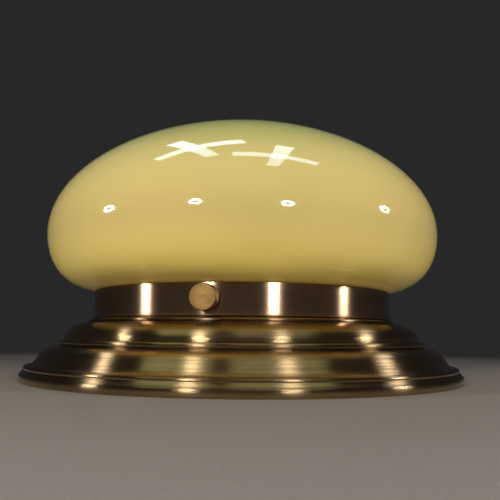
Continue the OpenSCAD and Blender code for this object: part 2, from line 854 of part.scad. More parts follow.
module bulb_insulator() {
    color(black_glass)
        rotate_extrude($fn = small_fn)
            polygon([
                [0, bulb_z + bulb_contact_h], [insulator_face_r, bulb_z + bulb_contact_h],
                [cap_r - 3, cap_z - cap_t - eps], [cap_hole_r - hole_gap, cap_z - cap_t - eps],
                [cap_hole_r - hole_gap, cap_z + 0.6], [0, cap_z + 0.6]
            ]);
}

module bulb_contact() {
    color(bronze)
        rotate_extrude($fn = small_fn)
            polygon(concat(
                [for (a = [-90 : 22.5 : 0])
                    [bulb_contact_r * cos(a), bulb_z + bulb_contact_h * (1 + sin(a))]],
                [[0, bulb_z + bulb_contact_h]]
            ));
}

// Glass stem that carries the lead wires
module bulb_stem() {
    color(clear_glass)
        rotate_extrude($fn = small_fn)
            polygon(concat(
                [[stem_flare_r - 1, stem_z], [stem_flare_r, stem_z]],
                bezier([
                    [stem_flare_r - 0.2, stem_z + 1], [stem_neck_r, stem_z + 3],
                    [stem_neck_r, stem_press_z - stem_taper_h], [stem_press_r, stem_press_z]
                ], 8),
                [[0, stem_press_z + 1], [0, stem_press_z - 2]],
                bezier([
                    [0.5, stem_press_z - 2], [stem_bore_r, stem_press_z - stem_bore_taper_h],
                    [stem_bore_r, stem_z + 3], [stem_flare_r - 1.5, stem_z + 1]
                ], 8)
            ));
}

module bulb_filament() {
    color(lead_grey)
        tube_along([
            [-1, 0, lead_start_z],
            [-3, 0, lead_bend_z],
            [-filament_reach, 0, filament_z - 4],
            [-filament_reach, 0, filament_z],
            [-filament_reach + 3, 2, filament_z + 2],
            [0, 4, filament_z + 1],
            [filament_reach - 3, 2, filament_z + 2],
            [filament_reach, 0, filament_z],
            [filament_reach, 0, filament_z - 4],
            [3, 0, lead_bend_z],
            [1, 0, lead_start_z]
        ], filament_r);
}

module along_block(y, from_x, to_x, radius) {
    translate([from_x, y, pole_z])
        rotate([0, 90, 0])
            cylinder(h = to_x - from_x, r = radius, $fn = small_fn);
}

module terminal_block() {
    color(block_white)
        difference() {
            union() {
                translate([block_x, -block_w / 2, strap_top_z])
                    cube([block_len, block_w, block_base_h]);
                for (pole = [-1 : 1])
                    translate([block_x + 0.5, pole * pole_pitch - block_tower_w / 2, strap_top_z])
                        cube([block_len - 1, block_tower_w, block_h]);
            }
            for (pole = [-1 : 1]) {
                along_block(pole * pole_pitch, block_x - cut_extra, block_x + block_len + cut_extra,
                    insert_r + hole_gap);
                for (side = [-1, 1])
                    peg(block_mid_x + side * clamp_x, pole * pole_pitch, pole_z, block_h, well_r);
            }
            peg(block_mid_x, block_screw_y, strap_top_z - cut_extra,
                block_h + 2 * cut_extra, block_screw_hole_r);
            peg(block_mid_x, block_screw_y, strap_top_z + block_base_h, block_h, block_screw_head_r + 0.15);
        }
}

module terminal_inserts() {
    start_x = block_mid_x - insert_len / 2;
    end_x = start_x + insert_len;
    color(brass)
        for (pole = [-1 : 1])
            difference() {
                along_block(pole * pole_pitch, start_x, end_x, insert_r);
                along_block(pole * pole_pitch, start_x - cut_extra, end_x + cut_extra, insert_bore_r);
                for (side = [-1, 1])
                    peg(block_mid_x + side * clamp_x, pole * pole_pitch, pole_z,
                        insert_r + cut_extra, clamp_r + hole_gap);
            }
}

module terminal_screws() {
    low_z = pole_z + wire_r + 0.1;
    color(zinc)
        for (pole = [-1 : 1])
            for (side = [-1, 1])
                difference() {
                    peg(block_mid_x + side * clamp_x, pole * pole_pitch, low_z, clamp_top_z - low_z, clamp_r);
                    translate([
                        block_mid_x + side * clamp_x - clamp_r - cut_extra,
                        pole * pole_pitch - clamp_slot_w / 2,
                        clamp_top_z - clamp_slot_depth
                    ])
                        cube([2 * (clamp_r + cut_extra), clamp_slot_w, clamp_slot_depth + cut_extra]);
                }
}

module terminal_block_screw() {
    head_z = strap_top_z + block_base_h;
    screw_end_z = strap_under_z - block_screw_spare;
    color(zinc) {
        peg(block_mid_x, block_screw_y, head_z, block_screw_head_h, block_screw_head_r);
        peg(block_mid_x, block_screw_y, screw_end_z, head_z - screw_end_z + eps, block_screw_r);
    }
}

module live_wire() {
    color(live_brown)
        tube_along(live_route, wire_r);
}

module neutral_wire() {
    color(neutral_blue)
        tube_along(neutral_route, wire_r);
}

module earth_wire() {
    color(earth_green)
        tube_along(earth_route, wire_r);
}

canopy();
collar_ring();
collar_rivets();
thread_bushes();
thumbscrew_knob(1);  // thumbscrew_knob_1
thumbscrew_knob(2);  // thumbscrew_knob_2
thumbscrew_knob(3);  // thumbscrew_knob_3
thumbscrew_stud(1);  // thumbscrew_stud_1
thumbscrew_stud(2);  // thumbscrew_stud_2
thumbscrew_stud(3);  // thumbscrew_stud_3
glass_shade();
mounting_strap();
canopy_screws();
strap_lock_nuts();
canopy_washers();
canopy_cap_nuts();
cable_grommet();
earth_screw();
earth_nut();
earth_lug();
lampholder_body();
lampholder_shell();
lampholder_contact();
lampholder_screws();
bulb_glass();
bulb_cap();
bulb_insulator();
bulb_contact();
bulb_stem();
bulb_filament();
terminal_block();
terminal_inserts();
terminal_screws();
terminal_block_screw();
live_wire();
neutral_wire();
earth_wire();
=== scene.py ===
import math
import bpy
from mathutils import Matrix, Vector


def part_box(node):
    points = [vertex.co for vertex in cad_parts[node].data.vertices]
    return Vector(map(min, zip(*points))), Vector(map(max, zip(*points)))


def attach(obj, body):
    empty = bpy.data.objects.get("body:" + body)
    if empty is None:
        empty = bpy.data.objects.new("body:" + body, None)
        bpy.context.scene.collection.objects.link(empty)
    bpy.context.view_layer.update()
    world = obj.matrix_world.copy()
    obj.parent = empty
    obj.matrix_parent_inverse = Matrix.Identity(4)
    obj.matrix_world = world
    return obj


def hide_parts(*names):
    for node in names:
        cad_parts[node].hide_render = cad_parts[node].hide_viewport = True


bl_info = {
    "name": "Flush ceiling lamp",
    "version": (1, 0, 0),
    "blender": (4, 5, 0),
    "location": "View3D > Sidebar > Ceiling lamp",
    "description": "Models and finishes a brass and opal glass ceiling lamp around its packed parts",
    "category": "Object",
}

import bpy
from mathutils import Matrix, Vector

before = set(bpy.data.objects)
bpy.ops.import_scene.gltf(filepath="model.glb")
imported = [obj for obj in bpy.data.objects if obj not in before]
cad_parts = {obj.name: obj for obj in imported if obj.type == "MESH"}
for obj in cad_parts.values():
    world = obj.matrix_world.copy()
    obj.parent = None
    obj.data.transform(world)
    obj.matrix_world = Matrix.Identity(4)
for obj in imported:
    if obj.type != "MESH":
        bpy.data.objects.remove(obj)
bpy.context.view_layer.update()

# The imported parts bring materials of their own, which carry the plain names.
FINISH = "_finish"

MM = 0.001
FULL_TURN = 2 * math.pi
THIRD_TURN = FULL_TURN / 3
# Turns that lay a piece's own Z along X or along Y, and a pressed piece down flat
ALONG_X = (0, math.pi / 2, 0)
ALONG_Y = (-math.pi / 2, 0, 0)
LAID_FLAT = (math.pi / 2, 0, 0)
SIDES = (-1, 1)
THREE = (1, 2, 3)

# Steps round the lamp's large rings, round a piece of ordinary size and round a small one
BIG_STEPS = 192
SMALL_STEPS = 64
TINY_STEPS = 40
# Vertices this close are merged, and points of an outline this close are one point
MERGE = 1e-6
ONE_POINT = 20 * MERGE
# Play round a piece in its bore, and how far a cutter reaches past a face or past a screw's head
FIT = 0.05 * MM
CUT = 1 * MM
SLOT_REACH = 5 * MM

# Screws: radius, radius of the hole they pass, pitch and depth of the thread
M4_R, M4_HOLE_R, M4_PITCH, M4_THREAD = 2 * MM, 2.1 * MM, 0.7 * MM, 0.38 * MM
M3_R, M3_HOLE_R, M3_PITCH, M3_THREAD = 1.5 * MM, 1.6 * MM, 0.5 * MM, 0.27 * MM
BLOCK_R, BLOCK_HOLE_R, BLOCK_PITCH, BLOCK_THREAD = 1.2 * MM, 1.3 * MM, 0.45 * MM, 0.2 * MM
CLAMP_R, CLAMP_HOLE_R, CLAMP_PITCH, CLAMP_THREAD = 1.3 * MM, 1.35 * MM, 0.5 * MM, 0.2 * MM
# Vertices within this share of a thread's radius belong to a face or a bore
CORE = 0.8
# M4 nuts: radius over the corners, and height
NUT_R, NUT_H = 4.04 * MM, 3.2 * MM
# The earth wire's ring tag: thickness, wall of its barrel, and the barrel's distance from the screw
TAG_T, TAG_WALL, BARREL_Y = 0.8 * MM, 0.6 * MM, 6.2 * MM


def top_of(node):
    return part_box(node)[1]


def foot_of(node):
    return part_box(node)[0]


def middle_of(node):
    return (top_of(node) + foot_of(node)) / 2


# Settings


def number(name, description, default, **details):
    return bpy.props.FloatProperty(name=name, description=description, default=default, **details)


def length(name, description, default):
    return number(
        name, description, default, min=0, soft_max=0.5, precision=5, subtype="DISTANCE", unit="LENGTH"
    )


def rotation(name, description, default):
    return number(name, description, default, subtype="ANGLE", unit="ROTATION")


def power(name, description, default):
    return number(name, description, default, min=0, subtype="POWER")


def colour(name, description, default):
    return bpy.props.FloatVectorProperty(
        name=name, description=description, default=default, size=3, min=0, max=1, subtype="COLOR"
    )


class CanopySizes(bpy.types.PropertyGroup):
    """Sizes of the stepped brass canopy"""

    sheet: length("Sheet", "Thickness of the spun sheet", 1 * MM)
    rim_r: length("Rim radius", "Outside radius of the rim", top_of("canopy").x)
    rim_h: length("Rim height", "Height of the upright band at the rim", 5 * MM)
    ledge_w: length("Ledge width", "Width between the rim and the lower dome", 4.8 * MM)
    ledge_h: length("Ledge height", "Height of the lower dome's foot above the rim band", 3.9 * MM)
    skirt_w: length("Lower dome width", "Width of the lower dome", 16 * MM)
    skirt_h: length("Lower dome height", "Height of the lower dome", 11.7 * MM)
    step_w: length("Step width", "Width between the two domes", 5.1 * MM)
    step_h: length("Step height", "Height between the two domes", 3.9 * MM)
    dome_w: length("Upper dome width", "Width of the upper dome", 12.9 * MM)
    dome_h: length("Upper dome height", "Height of the upper dome", 10.7 * MM)
    bead_r: length("Bead radius", "Outside radius of the two round beads", 1.4 * MM)
    opening_r: length("Opening radius", "Radius of the opening in the deck", 50 * MM)
    screw_x: length("Screw distance", "Distance from the middle to each canopy screw", 66 * MM)


class CollarSizes(bpy.types.PropertyGroup):
    """Sizes of the upright brass collar"""

    outer_r: length("Collar radius", "Outside radius of the collar", top_of("collar_ring").x)
    wall: length("Collar wall", "Thickness of the collar's brass", 1 * MM)
    foot_z: length("Collar foot", "Height of the deck that the collar stands on", foot_of("collar_ring").z)
    top_z: length("Collar top", "Height of the collar's upper edge", top_of("collar_ring").z)
    flange_w: length("Flange width", "Width of the flange turned inwards at the foot", 10.4 * MM)
    bend_r: length("Bend radius", "Outside radius of the bend at the foot", 1.3 * MM)
    edge_r: length("Edge radius", "Rounding of the upper edge", 0.35 * MM)
    rivet_r: length("Rivet radius", "Radius of a rivet's shank", 1.6 * MM)
    rivet_head_r: length("Rivet head radius", "Radius of a rivet's head", 3 * MM)
    rivet_head_h: length("Rivet head height", "Height of a rivet's head", 1.3 * MM)


class ShadeSizes(bpy.types.PropertyGroup):
    """Sizes of the opal glass shade"""

    outer_r: length("Shade radius", "Radius at the widest circle", 129.35 * MM)
    crown_h: length("Crown height", "Height above the widest circle", 76.3 * MM)
    belly_h: length("Belly depth", "Depth below the widest circle", 37.6 * MM)
    glass: length("Glass", "Thickness of the glass", 3 * MM)
    neck_r: length("Neck radius", "Outside radius of the neck", 91.5 * MM)
    lip_w: length("Lip width", "How far the lip stands out from the neck", 2.5 * MM)
    lip_h: length("Lip height", "Height of the lip", 3 * MM)
    fillet_r: length("Neck fillet", "Rounding between neck and belly", 3 * MM)
    crown_power: number("Crown fullness", "Power of the crown's curve", 1.872, min=1.2, max=4)
    belly_power: number("Belly fullness", "Power of the belly's curve", 8.81, min=2, max=14)


class ThumbscrewSizes(bpy.types.PropertyGroup):
    """Sizes of the three thumbscrews and their bushes"""

    first_angle: rotation(
        "First angle", "Direction of the first thumbscrew round the collar", math.radians(259.5)
    )
    height: length("Height", "Height of the thumbscrews' axes", middle_of("thumbscrew_knob_1").z)
    knob_r: length("Knob radius", "Radius of a knob", 7.1 * MM)
    knob_back: length("Knob back", "Distance from the lamp's axis to a knob's back", 102 * MM)
    knob_face: length("Knob face", "Distance from the lamp's axis to a knob's face", 110 * MM)
    knob_bevel: length("Knob bevel", "Width of the bevels round a knob", 0.45 * MM)
    stud_r: length("Stud radius", "Radius over the stud's thread", 2 * MM)
    stud_tip: length("Stud tip", "Distance from the lamp's axis to a stud's tip", 94.6 * MM)
    stud_end: length("Stud end", "Distance from the lamp's axis to a stud's outer end", 107 * MM)
    pitch: length("Pitch", "Pitch of the stud's thread", 0.7 * MM)
    thread_depth: length("Thread depth", "Depth of the stud's thread", 0.4 * MM)
    bush_r: length("Bush radius", "Radius of a bush's barrel", 3.5 * MM)
    bush_flange_r: length("Bush flange radius", "Radius of a bush's flange inside the collar", 5.2 * MM)
    bush_flange_w: length("Bush flange", "Thickness of a bush's flange", 1.5 * MM)
    bush_proud: length("Bush proud", "How far a bush stands out of the collar", 0.5 * MM)


class StrapSizes(bpy.types.PropertyGroup):
    """Sizes of the steel strap and of what is screwed to it"""

    width: length("Strap width", "Width of the strap", 32 * MM)
    sheet: length("Strap thickness", "Thickness of the strap", 2 * MM)
    foot_z: length("Strap foot", "Height of the strap's ends above the ceiling plane", 0.5 * MM)
    rise: length("Rise", "Height of the raised middle above the ends", 8.5 * MM)
    raised_x: length("Raised middle", "Half the length of the raised middle", 74 * MM)
    bend_w: length("Bend", "Length of each sloping part", 6 * MM)
    end_x: length("Strap end", "Half the length of the strap", 112 * MM)
    corner: length("Corner", "Radius of the corners at the strap's ends", 6 * MM)
    slot_x: length("Slot distance", "Distance from the middle to each slot", 98 * MM)
    slot_len: length("Slot length", "Length of each ceiling-screw slot", 14 * MM)
    slot_r: length("Slot radius", "Radius of each slot's ends", 2.5 * MM)
    inlet_x: length("Inlet distance", "Distance from the middle to the cable inlet", 40 * MM)
    inlet_r: length("Inlet radius", "Radius of the cable inlet", 4 * MM)
    inlet_wall: length("Inlet wall", "Wall of the rubber ring in the strap", 1.6 * MM)
    earth_x: length("Earth distance", "Distance from the middle to the earth screw", 54 * MM)


class HolderSizes(bpy.types.PropertyGroup):
    """Sizes of the porcelain lampholder"""

    foot_r: length("Foot radius", "Radius of the lampholder's foot", 23.5 * MM)
    body_r: length("Body radius", "Radius above the foot", 20.5 * MM)
    height: length("Height", "Height of the lampholder", 43 * MM)
    foot_h: length("Foot height", "Height of the foot", 13 * MM)
    socket_r: length("Socket radius", "Radius of the socket", 14.8 * MM)
    floor_h: length("Socket floor", "Height of the socket's floor above the strap", 16 * MM)
    screw_y: length("Screw distance", "Distance from the middle to each fixing screw", 12 * MM)
    wire_y: length("Wire distance", "Distance from the middle to each wire hole", 7 * MM)


class BulbSizes(bpy.types.PropertyGroup):
    """Sizes of the bulb and of the thread that holds it"""

    radius: length("Bulb radius", "Radius of the bulb at its widest", 30 * MM)
    foot_z: length("Bulb foot", "Height of the end contact", foot_of("bulb_contact").z)
    top_z: length("Bulb top", "Height of the bulb's top", top_of("bulb_glass").z)
    glass: length("Glass", "Thickness of the bulb's glass", 0.8 * MM)
    cap_r: length("Cap radius", "Radius over the cap's thread", 13.2 * MM)
    cap_t: length("Cap sheet", "Thickness of the cap and the shell", 0.35 * MM)
    pitch: length("Pitch", "Pitch of the cap's thread", 3.62 * MM)
    thread_depth: length("Thread depth", "Depth of the cap's thread", 0.9 * MM)


class WiringSizes(bpy.types.PropertyGroup):
    """Sizes of the terminal block and the internal wires"""

    wire_r: length("Wire radius", "Radius over a wire's insulation", 1.2 * MM)
    pole_pitch: length("Pole pitch", "Distance between the block's poles", 9 * MM)
    block_x: length("Block place", "Furthest end of the block, from the lamp's axis", 51 * MM)
    block_len: length("Block length", "Length of the block along the wires", 18 * MM)
    block_h: length("Block height", "Height of the block", 13 * MM)
    base_h: length("Base height", "Height of the block's base", 2.4 * MM)
    pole_h: length("Pole height", "Height of the wires above the strap in the block", 6.5 * MM)


class FinishColours(bpy.types.PropertyGroup):
    """Colours of the finishes"""

    # The canopy's and the collar's tarnish colours also paint the shade in their crease lines
    canopy_light: colour("Canopy", "Spun brass of the canopy", (0.50, 0.343, 0.165))
    canopy_dark: colour("Canopy tarnish", "Aged brass of the canopy", (0.235, 0.158, 0.092))
    collar_light: colour("Collar", "Brushed brass of the collar", (0.51, 0.335, 0.20))
    collar_dark: colour("Collar tarnish", "Aged brass of the collar", (0.31, 0.19, 0.105))
    knob: colour("Knob", "Turned brass of the knobs", (0.228, 0.130, 0.043))
    turned: colour("Turned brass", "Brass of the small turned parts", (0.66, 0.48, 0.24))
    opal_middle: colour("Opal", "Opal glass round its widest circle", (0.62, 0.465, 0.155))
    # Painted light on the shade: the crown colour is darker and greener, painted shade where the glass faces
    # up to dim green light, and the foot colour is lighter than the girth, painted light in the glass next
    # to the collar
    opal_crown_painted_shade: colour("Opal crown", "Opal glass at the crown", (0.285, 0.335, 0.075))
    opal_foot_painted_light: colour("Opal foot", "Opal glass at the collar", (0.94, 0.71, 0.165))
    steel: colour("Zinc", "Zinc plated steel", (0.56, 0.57, 0.58))
    cap: colour("Bulb cap", "Plated cap of the bulb", (0.66, 0.66, 0.65))
    porcelain: colour("Porcelain", "Glazed porcelain", (0.82, 0.79, 0.71))
    bronze: colour("Bronze", "Spring bronze", (0.50, 0.31, 0.15))
    block: colour("Block", "Moulded terminal block", (0.75, 0.70, 0.58))
    rubber: colour("Rubber", "Rubber ring at the cable inlet", (0.025, 0.025, 0.027))
    insulator: colour("Insulator", "Black glass of the bulb's insulator", (0.012, 0.012, 0.016))
    clear: colour("Clear glass", "Glass of the bulb's stem", (0.90, 0.95, 0.95))
    frost_low: colour("Frosted neck", "Frosted glass at the bulb's neck", (0.72, 0.72, 0.68))
    frost_high: colour("Frosted ball", "Frosted glass of the bulb's ball", (0.86, 0.86, 0.83))
    live: colour("Live wire", "Brown insulation", (0.13, 0.05, 0.025))
    neutral: colour("Neutral wire", "Blue insulation", (0.025, 0.10, 0.36))
    earth_green: colour("Earth green", "Green of the earth wire", (0.05, 0.24, 0.04))
    earth_yellow: colour("Earth yellow", "Yellow of the earth wire", (0.72, 0.56, 0.04))
    floor: colour("Floor", "Pale floor", (0.305, 0.272, 0.238))
    room: colour("Room", "Plain room around the lamp", (0.021, 0.021, 0.022))
    panel: colour("Panels overhead", "Tint of the crossed panels", (0.66, 0.89, 1.0))
    window: colour("Soft panels", "Tint of the soft panels that the canopy mirrors", (0.80, 1.0, 0.74))


class StageSettings(bpy.types.PropertyGroup):
    """Floor, lamps and camera"""

    floor_size: length("Floor size", "Width of the floor", 12)
    floor_reach: length("Floor reach", "Distance at which the floor has faded into the room", 650 * MM)
    aim_z: length("Aim height", "Height that the lamps point at", 80 * MM)
    lamp_away: length("Lamp distance", "Level distance from the axis to each round lamp", 750 * MM)
    lamp_size: length("Lamp size", "Width of each round lamp", 80 * MM)
    hood_r: length("Hood radius", "Radius of the dark disc in front of each round lamp", 25 * MM)
    streak_w: length("Streak width", "Width of the tall lamps on the canopy", 70 * MM)
    lamp_power: power("Lamp power", "Power of each round lamp", 3.2)
    spot_power: power("Spot power", "Power of each round lamp on the canopy", 0.6)
    top_power: power("Top power", "Power of the wide lamp overhead", 1.15)
    front_power: power("Front power", "Power of the wide lamp in front", 1.2)
    back_power: power("Back power", "Power of the wide lamp behind", 1.5)
    glow_power: power("Glow power", "Light that the floor sends back to the glass", 1.5)
    panel_power: power("Panel power", "Power of each panel overhead", 2.9)
    streak_light: number("Streak light", "Brightness of the tall lamps on the canopy", 3, min=0)
    window_light: number("Window light", "Brightness of the soft panels on the canopy", 0.5, min=0)
    camera_back: length("Camera distance", "Distance from the lamp's axis to the camera", 413 * MM)
    camera_z: length("Camera height", "Height of the camera", 28.5 * MM)
    camera_pitch: rotation("Camera pitch", "How far the camera looks up", 0.1401)
    camera_roll: rotation("Camera roll", "Turn of the camera about its view", 0.0088)
    focal: number("Focal length", "Focal length on a 36 mm sensor", 43.17, min=20, max=90)
    shift: number("Shift", "Sideways shift of the view", 0.0156, min=-0.1, max=0.1)


GROUPS = {
    "canopy": CanopySizes,
    "collar": CollarSizes,
    "shade": ShadeSizes,
    "thumbscrews": ThumbscrewSizes,
    "strap": StrapSizes,
    "holder": HolderSizes,
    "bulb": BulbSizes,
    "wiring": WiringSizes,
    "colours": FinishColours,
    "stage": StageSettings,
}


class LampSettings(bpy.types.PropertyGroup):
    """Every size and colour of the lamp"""

    __annotations__ = {name: bpy.props.PointerProperty(type=group) for name, group in GROUPS.items()}


def settings():
    return bpy.context.scene.ceiling_lamp


# Places that more than one piece shares


def strap_faces():
    """Heights of the underside and the top of the strap's raised middle."""
    s = settings().strap
    under = s.foot_z + s.rise
    return under, under + s.sheet


def block_middle():
    """Where along X the middle of the terminal block is."""
    w = settings().wiring
    return w.block_len / 2 - w.block_x


def spoke(i):
    """The direction of thumbscrew number i round the collar."""
    return settings().thumbscrews.first_angle + (i - 1) * THIRD_TURN


def spoke_turn(i):
    """The turn that lays a piece's own Z outwards along thumbscrew number i."""
    return (0, math.pi / 2, spoke(i))


def outward(i, distance, height):
    return (distance * math.cos(spoke(i)), distance * math.sin(spoke(i)), height)


def rivet_places():
    """The middles of the three rivets, half way between the thumbscrews."""
    c = settings().collar
    r = c.outer_r - (c.flange_w + c.wall) / 2
    turns = [spoke(i) + THIRD_TURN / 2 for i in THREE]
    return [(r * math.cos(turn), r * math.sin(turn)) for turn in turns]


# Outlines: points of radius and height


def oval(centre, wide, high, angles):
    """Points round an oval, at these angles in degrees."""
    turns = [math.radians(a) for a in angles]
    return [Vector((centre[0] + wide * math.cos(t), centre[1] + high * math.sin(t))) for t in turns]


def arc(centre, radius, start, end, step=12):
    count = max(2, math.ceil(abs(end - start) / step))
    return oval(centre, radius, radius, [start + (end - start) * i / count for i in range(count + 1)])


def bezier(count, *corners):
    a, b, c, d = (Vector(p) for p in corners)
    points = []
    for i in range(count + 1):
        t = i / count
        u = 1 - t
        points.append(a * u**3 + b * (3 * u * u * t) + c * (3 * u * t * t) + d * t**3)
    return points


def line(start, end, step):
    start, end = Vector(start), Vector(end)
    count = max(1, math.ceil((end - start).length / step))
    return [start.lerp(end, i / count) for i in range(count + 1)]


def right_of(direction):
    return Vector((direction.y, -direction.x)).normalized()


def inset(points, wall, mitre_limit=1.6):
    """The outline moved inwards by a wall, where the outside is on the right of its direction."""
    moved = []
    last = len(points) - 1
    for i, point in enumerate(points):
        before = right_of(point - points[i - 1]) if i else right_of(points[1] - point)
        after = right_of(points[i + 1] - point) if i < last else before
        mitre = (before + after).normalized()
        q = point - mitre * wall * min(mitre_limit, 1 / mitre.dot(before))
        moved.append(Vector((max(0, q.x), q.y)))
    return moved


def joined(*runs):
    """Runs of points as one outline, without the points that repeat where two runs meet."""
    points = []
    for run in runs:
        for p in run:
            p = Vector(p)
            if not points or (p - points[-1]).length > ONE_POINT:
                points.append(p)
    return points


def head_down(r, head_r, soft, low, seat, end, step, point=0):
    """A screw with its head at the bottom, from the head's face at low to the shank's end."""
    return joined(
        [(0, low), (head_r - soft, low)],
        arc((head_r - soft, low + soft), soft, -90, 0, 15),
        [(head_r, seat)],
        line((r, seat), (r, end - point), step),
        [(r - point, end), (0, end)],
    )


def head_up(r, head_r, soft, low, seat, high, step, point, rounding):
    """A screw with its head at the top, from the shank's end at low to the head's face at high."""
    return joined(
        [(0, low), (r - point, low)],
        line((r, low + point), (r, seat), step),
        [(head_r, seat)],
        arc((head_r - soft, high - soft), soft, 0, 90, rounding),
        [(0, high)],
    )


def canopy_skin(c):
    """The canopy's outside, from the foot of the rim to the deck's opening."""
    skirt_foot = Vector((c.rim_r - c.ledge_w, c.rim_h + c.ledge_h))
    skirt_top = skirt_foot + Vector((-c.skirt_w, c.skirt_h))
    dome_foot = skirt_top + Vector((-c.step_w, c.step_h))
    dome_top = dome_foot + Vector((-c.dome_w, c.dome_h))

    # The rim swells outwards round one middle, and turns in to the ledge round a smaller bend.
    swell_r, swell_z = 5.2 * MM, 2.4 * MM
    bend_r = c.sheet + 0.3 * MM
    shoulder = math.asin((c.rim_h - bend_r - swell_z) / (swell_r - bend_r))
    swell = (c.rim_r - swell_r, swell_z)
    bend = oval(swell, swell_r - bend_r, swell_r - bend_r, [math.degrees(shoulder)])[0]
    swell_foot = -math.degrees(math.asin(swell_z / swell_r))

    # The lower dome is an ogee between the ledge's bead and a convex band.
    ledge_bead = skirt_foot + Vector((0.9, -1.2)) * MM
    ogee_low = skirt_foot + Vector((-6.5, 1.4)) * MM
    ogee_high = skirt_top + Vector((10.5, -0.2)) * MM
    band_r = 1.85 * MM
    band = skirt_top + Vector((-1.3 * MM - band_r, 2.1 * MM))

    neck_bead = dome_top + Vector((-2.7 * MM, 1 * MM))
    deck_z = neck_bead.y + c.bead_r
    return joined(
        arc(swell, swell_r, swell_foot, math.degrees(shoulder), 6),
        arc(bend, bend_r, math.degrees(shoulder), 65),
        arc(ledge_bead, c.bead_r, -25, 115),
        bezier(22, skirt_foot, ogee_low, ogee_high, skirt_top),
        [skirt_top + Vector((-2.0, 0.1)) * MM],
        arc(band, band_r, -52, 70),
        oval((dome_foot.x - c.dome_w, dome_foot.y), c.dome_w, c.dome_h, range(0, 91, 5)),
        arc(neck_bead, c.bead_r, -45, 90),
        line((neck_bead.x - 1 * MM, deck_z), (c.opening_r, deck_z), 6 * MM),
    )


def shade_walls(s, collar_inner_r, collar_top):
    """The shade's lip, then the outside of its neck, belly and crown."""
    # The belly is this far above the collar's inner edge.
    seat = 0.3 * MM

    def depth(r):
        return s.belly_h * math.sqrt(1 - (r / s.outer_r) ** s.belly_power)

    equator = collar_top + seat + depth(collar_inner_r)

    def curve(fullness, height, turns):
        """Points of a full oval below or above the widest circle."""
        return [(s.outer_r * math.cos(a) ** (2 / fullness), equator + height * math.sin(a)) for a in turns]

    fillet_end = Vector((s.neck_r + s.fillet_r, equator - depth(s.neck_r + s.fillet_r)))
    start = math.acos((fillet_end.x / s.outer_r) ** (s.belly_power / 2))
    belly_steps, crown_steps = 44, 60
    belly_turns = [start * (1 - i / belly_steps) for i in range(belly_steps + 1)]
    crown_turns = [math.pi / 2 * i / crown_steps for i in range(1, crown_steps + 1)]
    belly = curve(s.belly_power, -s.belly_h, belly_turns)
    crown = curve(s.crown_power, s.crown_h, crown_turns)

    lip_z = foot_of("glass_shade").z
    lip_round = 1.1 * MM
    lip_r = s.neck_r + s.lip_w - lip_round
    lip = joined(
        [(s.neck_r - s.glass, lip_z)],
        arc((lip_r, lip_z + lip_round), lip_round, -90, 0),
        arc((lip_r, lip_z + s.lip_h - lip_round), lip_round, 0, 90),
    )
    neck = line((s.neck_r, lip_z + s.lip_h), (s.neck_r, fillet_end.y - s.fillet_r), 1.5 * MM)
    fillet = arc((fillet_end.x, fillet_end.y - s.fillet_r), s.fillet_r, 180, 100)
    return lip, joined(neck, fillet, belly, crown)


# Modelling steps


def clear_selection():
    """Leaves edit mode, with nothing selected."""
    if bpy.context.object and bpy.context.object.mode != "OBJECT":
        bpy.ops.object.mode_set(mode="OBJECT")
    bpy.ops.object.select_all(action="DESELECT")


def only(*pieces):
    """Leaves just these pieces selected, with the first one active."""
    clear_selection()
    for piece in pieces:
        piece.select_set(True)
    bpy.context.view_layer.objects.active = pieces[0]


def named(name):
    """Names the active piece and its mesh."""
    piece = bpy.context.object
    piece.name = name
    piece.data.name = name
    only(piece)
    return piece


def settled(piece):
    """Puts a piece's place into its mesh, so that its object sits at the origin."""
    only(piece)
    bpy.ops.object.transform_apply(location=True, rotation=True, scale=True)
    return piece


def put(piece, at=(0, 0, 0), turn=(0, 0, 0)):
    piece.location = at
    piece.rotation_euler = turn
    return settled(piece)


def smooth(piece, angle=32):
    only(piece)
    bpy.ops.object.shade_smooth_by_angle(angle=math.radians(angle))
    return piece


def edit_all(piece):
    """Opens a piece in edit mode with all of it selected."""
    only(piece)
    bpy.ops.object.mode_set(mode="EDIT")
    bpy.ops.mesh.select_all(action="SELECT")


def loop_of(name, points):
    """A ring of vertices laid along an outline in the XZ plane."""
    clear_selection()
    bpy.ops.mesh.primitive_circle_add(vertices=len(points), radius=0.01, fill_type="NOTHING")
    piece = named(name)
    for vertex, p in zip(piece.data.vertices, points):
        vertex.co = (p[0], 0, p[1])
    return piece


def opened(piece):
    """Takes out the edge that joins an outline's last point to its first."""
    ends = {0, len(piece.data.vertices) - 1}
    for vertex in piece.data.vertices:
        vertex.select = vertex.index in ends
    for edge in piece.data.edges:
        edge.select = set(edge.vertices) == ends
    bpy.context.tool_settings.mesh_select_mode = (False, True, False)
    bpy.ops.object.mode_set(mode="EDIT")
    bpy.ops.mesh.delete(type="EDGE")
    bpy.context.tool_settings.mesh_select_mode = (True, False, False)


def turned(name, points, steps=SMALL_STEPS, angle=32):
    """A solid of revolution round the Z axis; its outline is closed, or both its ends are on the axis."""
    piece = loop_of(name, points)
    if abs(points[0][0]) < MERGE and abs(points[-1][0]) < MERGE:
        opened(piece)
    edit_all(piece)
    bpy.ops.mesh.spin(steps=steps, angle=FULL_TURN, center=(0, 0, 0), axis=(0, 0, 1))
    bpy.ops.mesh.select_all(action="SELECT")
    bpy.ops.mesh.remove_doubles(threshold=MERGE)
    bpy.ops.mesh.delete_loose()
    bpy.ops.mesh.select_all(action="SELECT")
    bpy.ops.mesh.normals_make_consistent(inside=False)
    return smooth(piece, angle)


def pressed(name, points, thickness):
    """A flat outline in XZ filled and extruded along Y, centred on the XZ plane."""
    piece = loop_of(name, points)
    edit_all(piece)
    bpy.ops.mesh.edge_face_add()
    bpy.ops.mesh.extrude_region_move(TRANSFORM_OT_translate={"value": (0, thickness, 0)})
    bpy.ops.mesh.select_all(action="SELECT")
    bpy.ops.transform.translate(value=(0, -thickness / 2, 0))
    bpy.ops.mesh.normals_make_consistent(inside=False)
    return settled(piece)


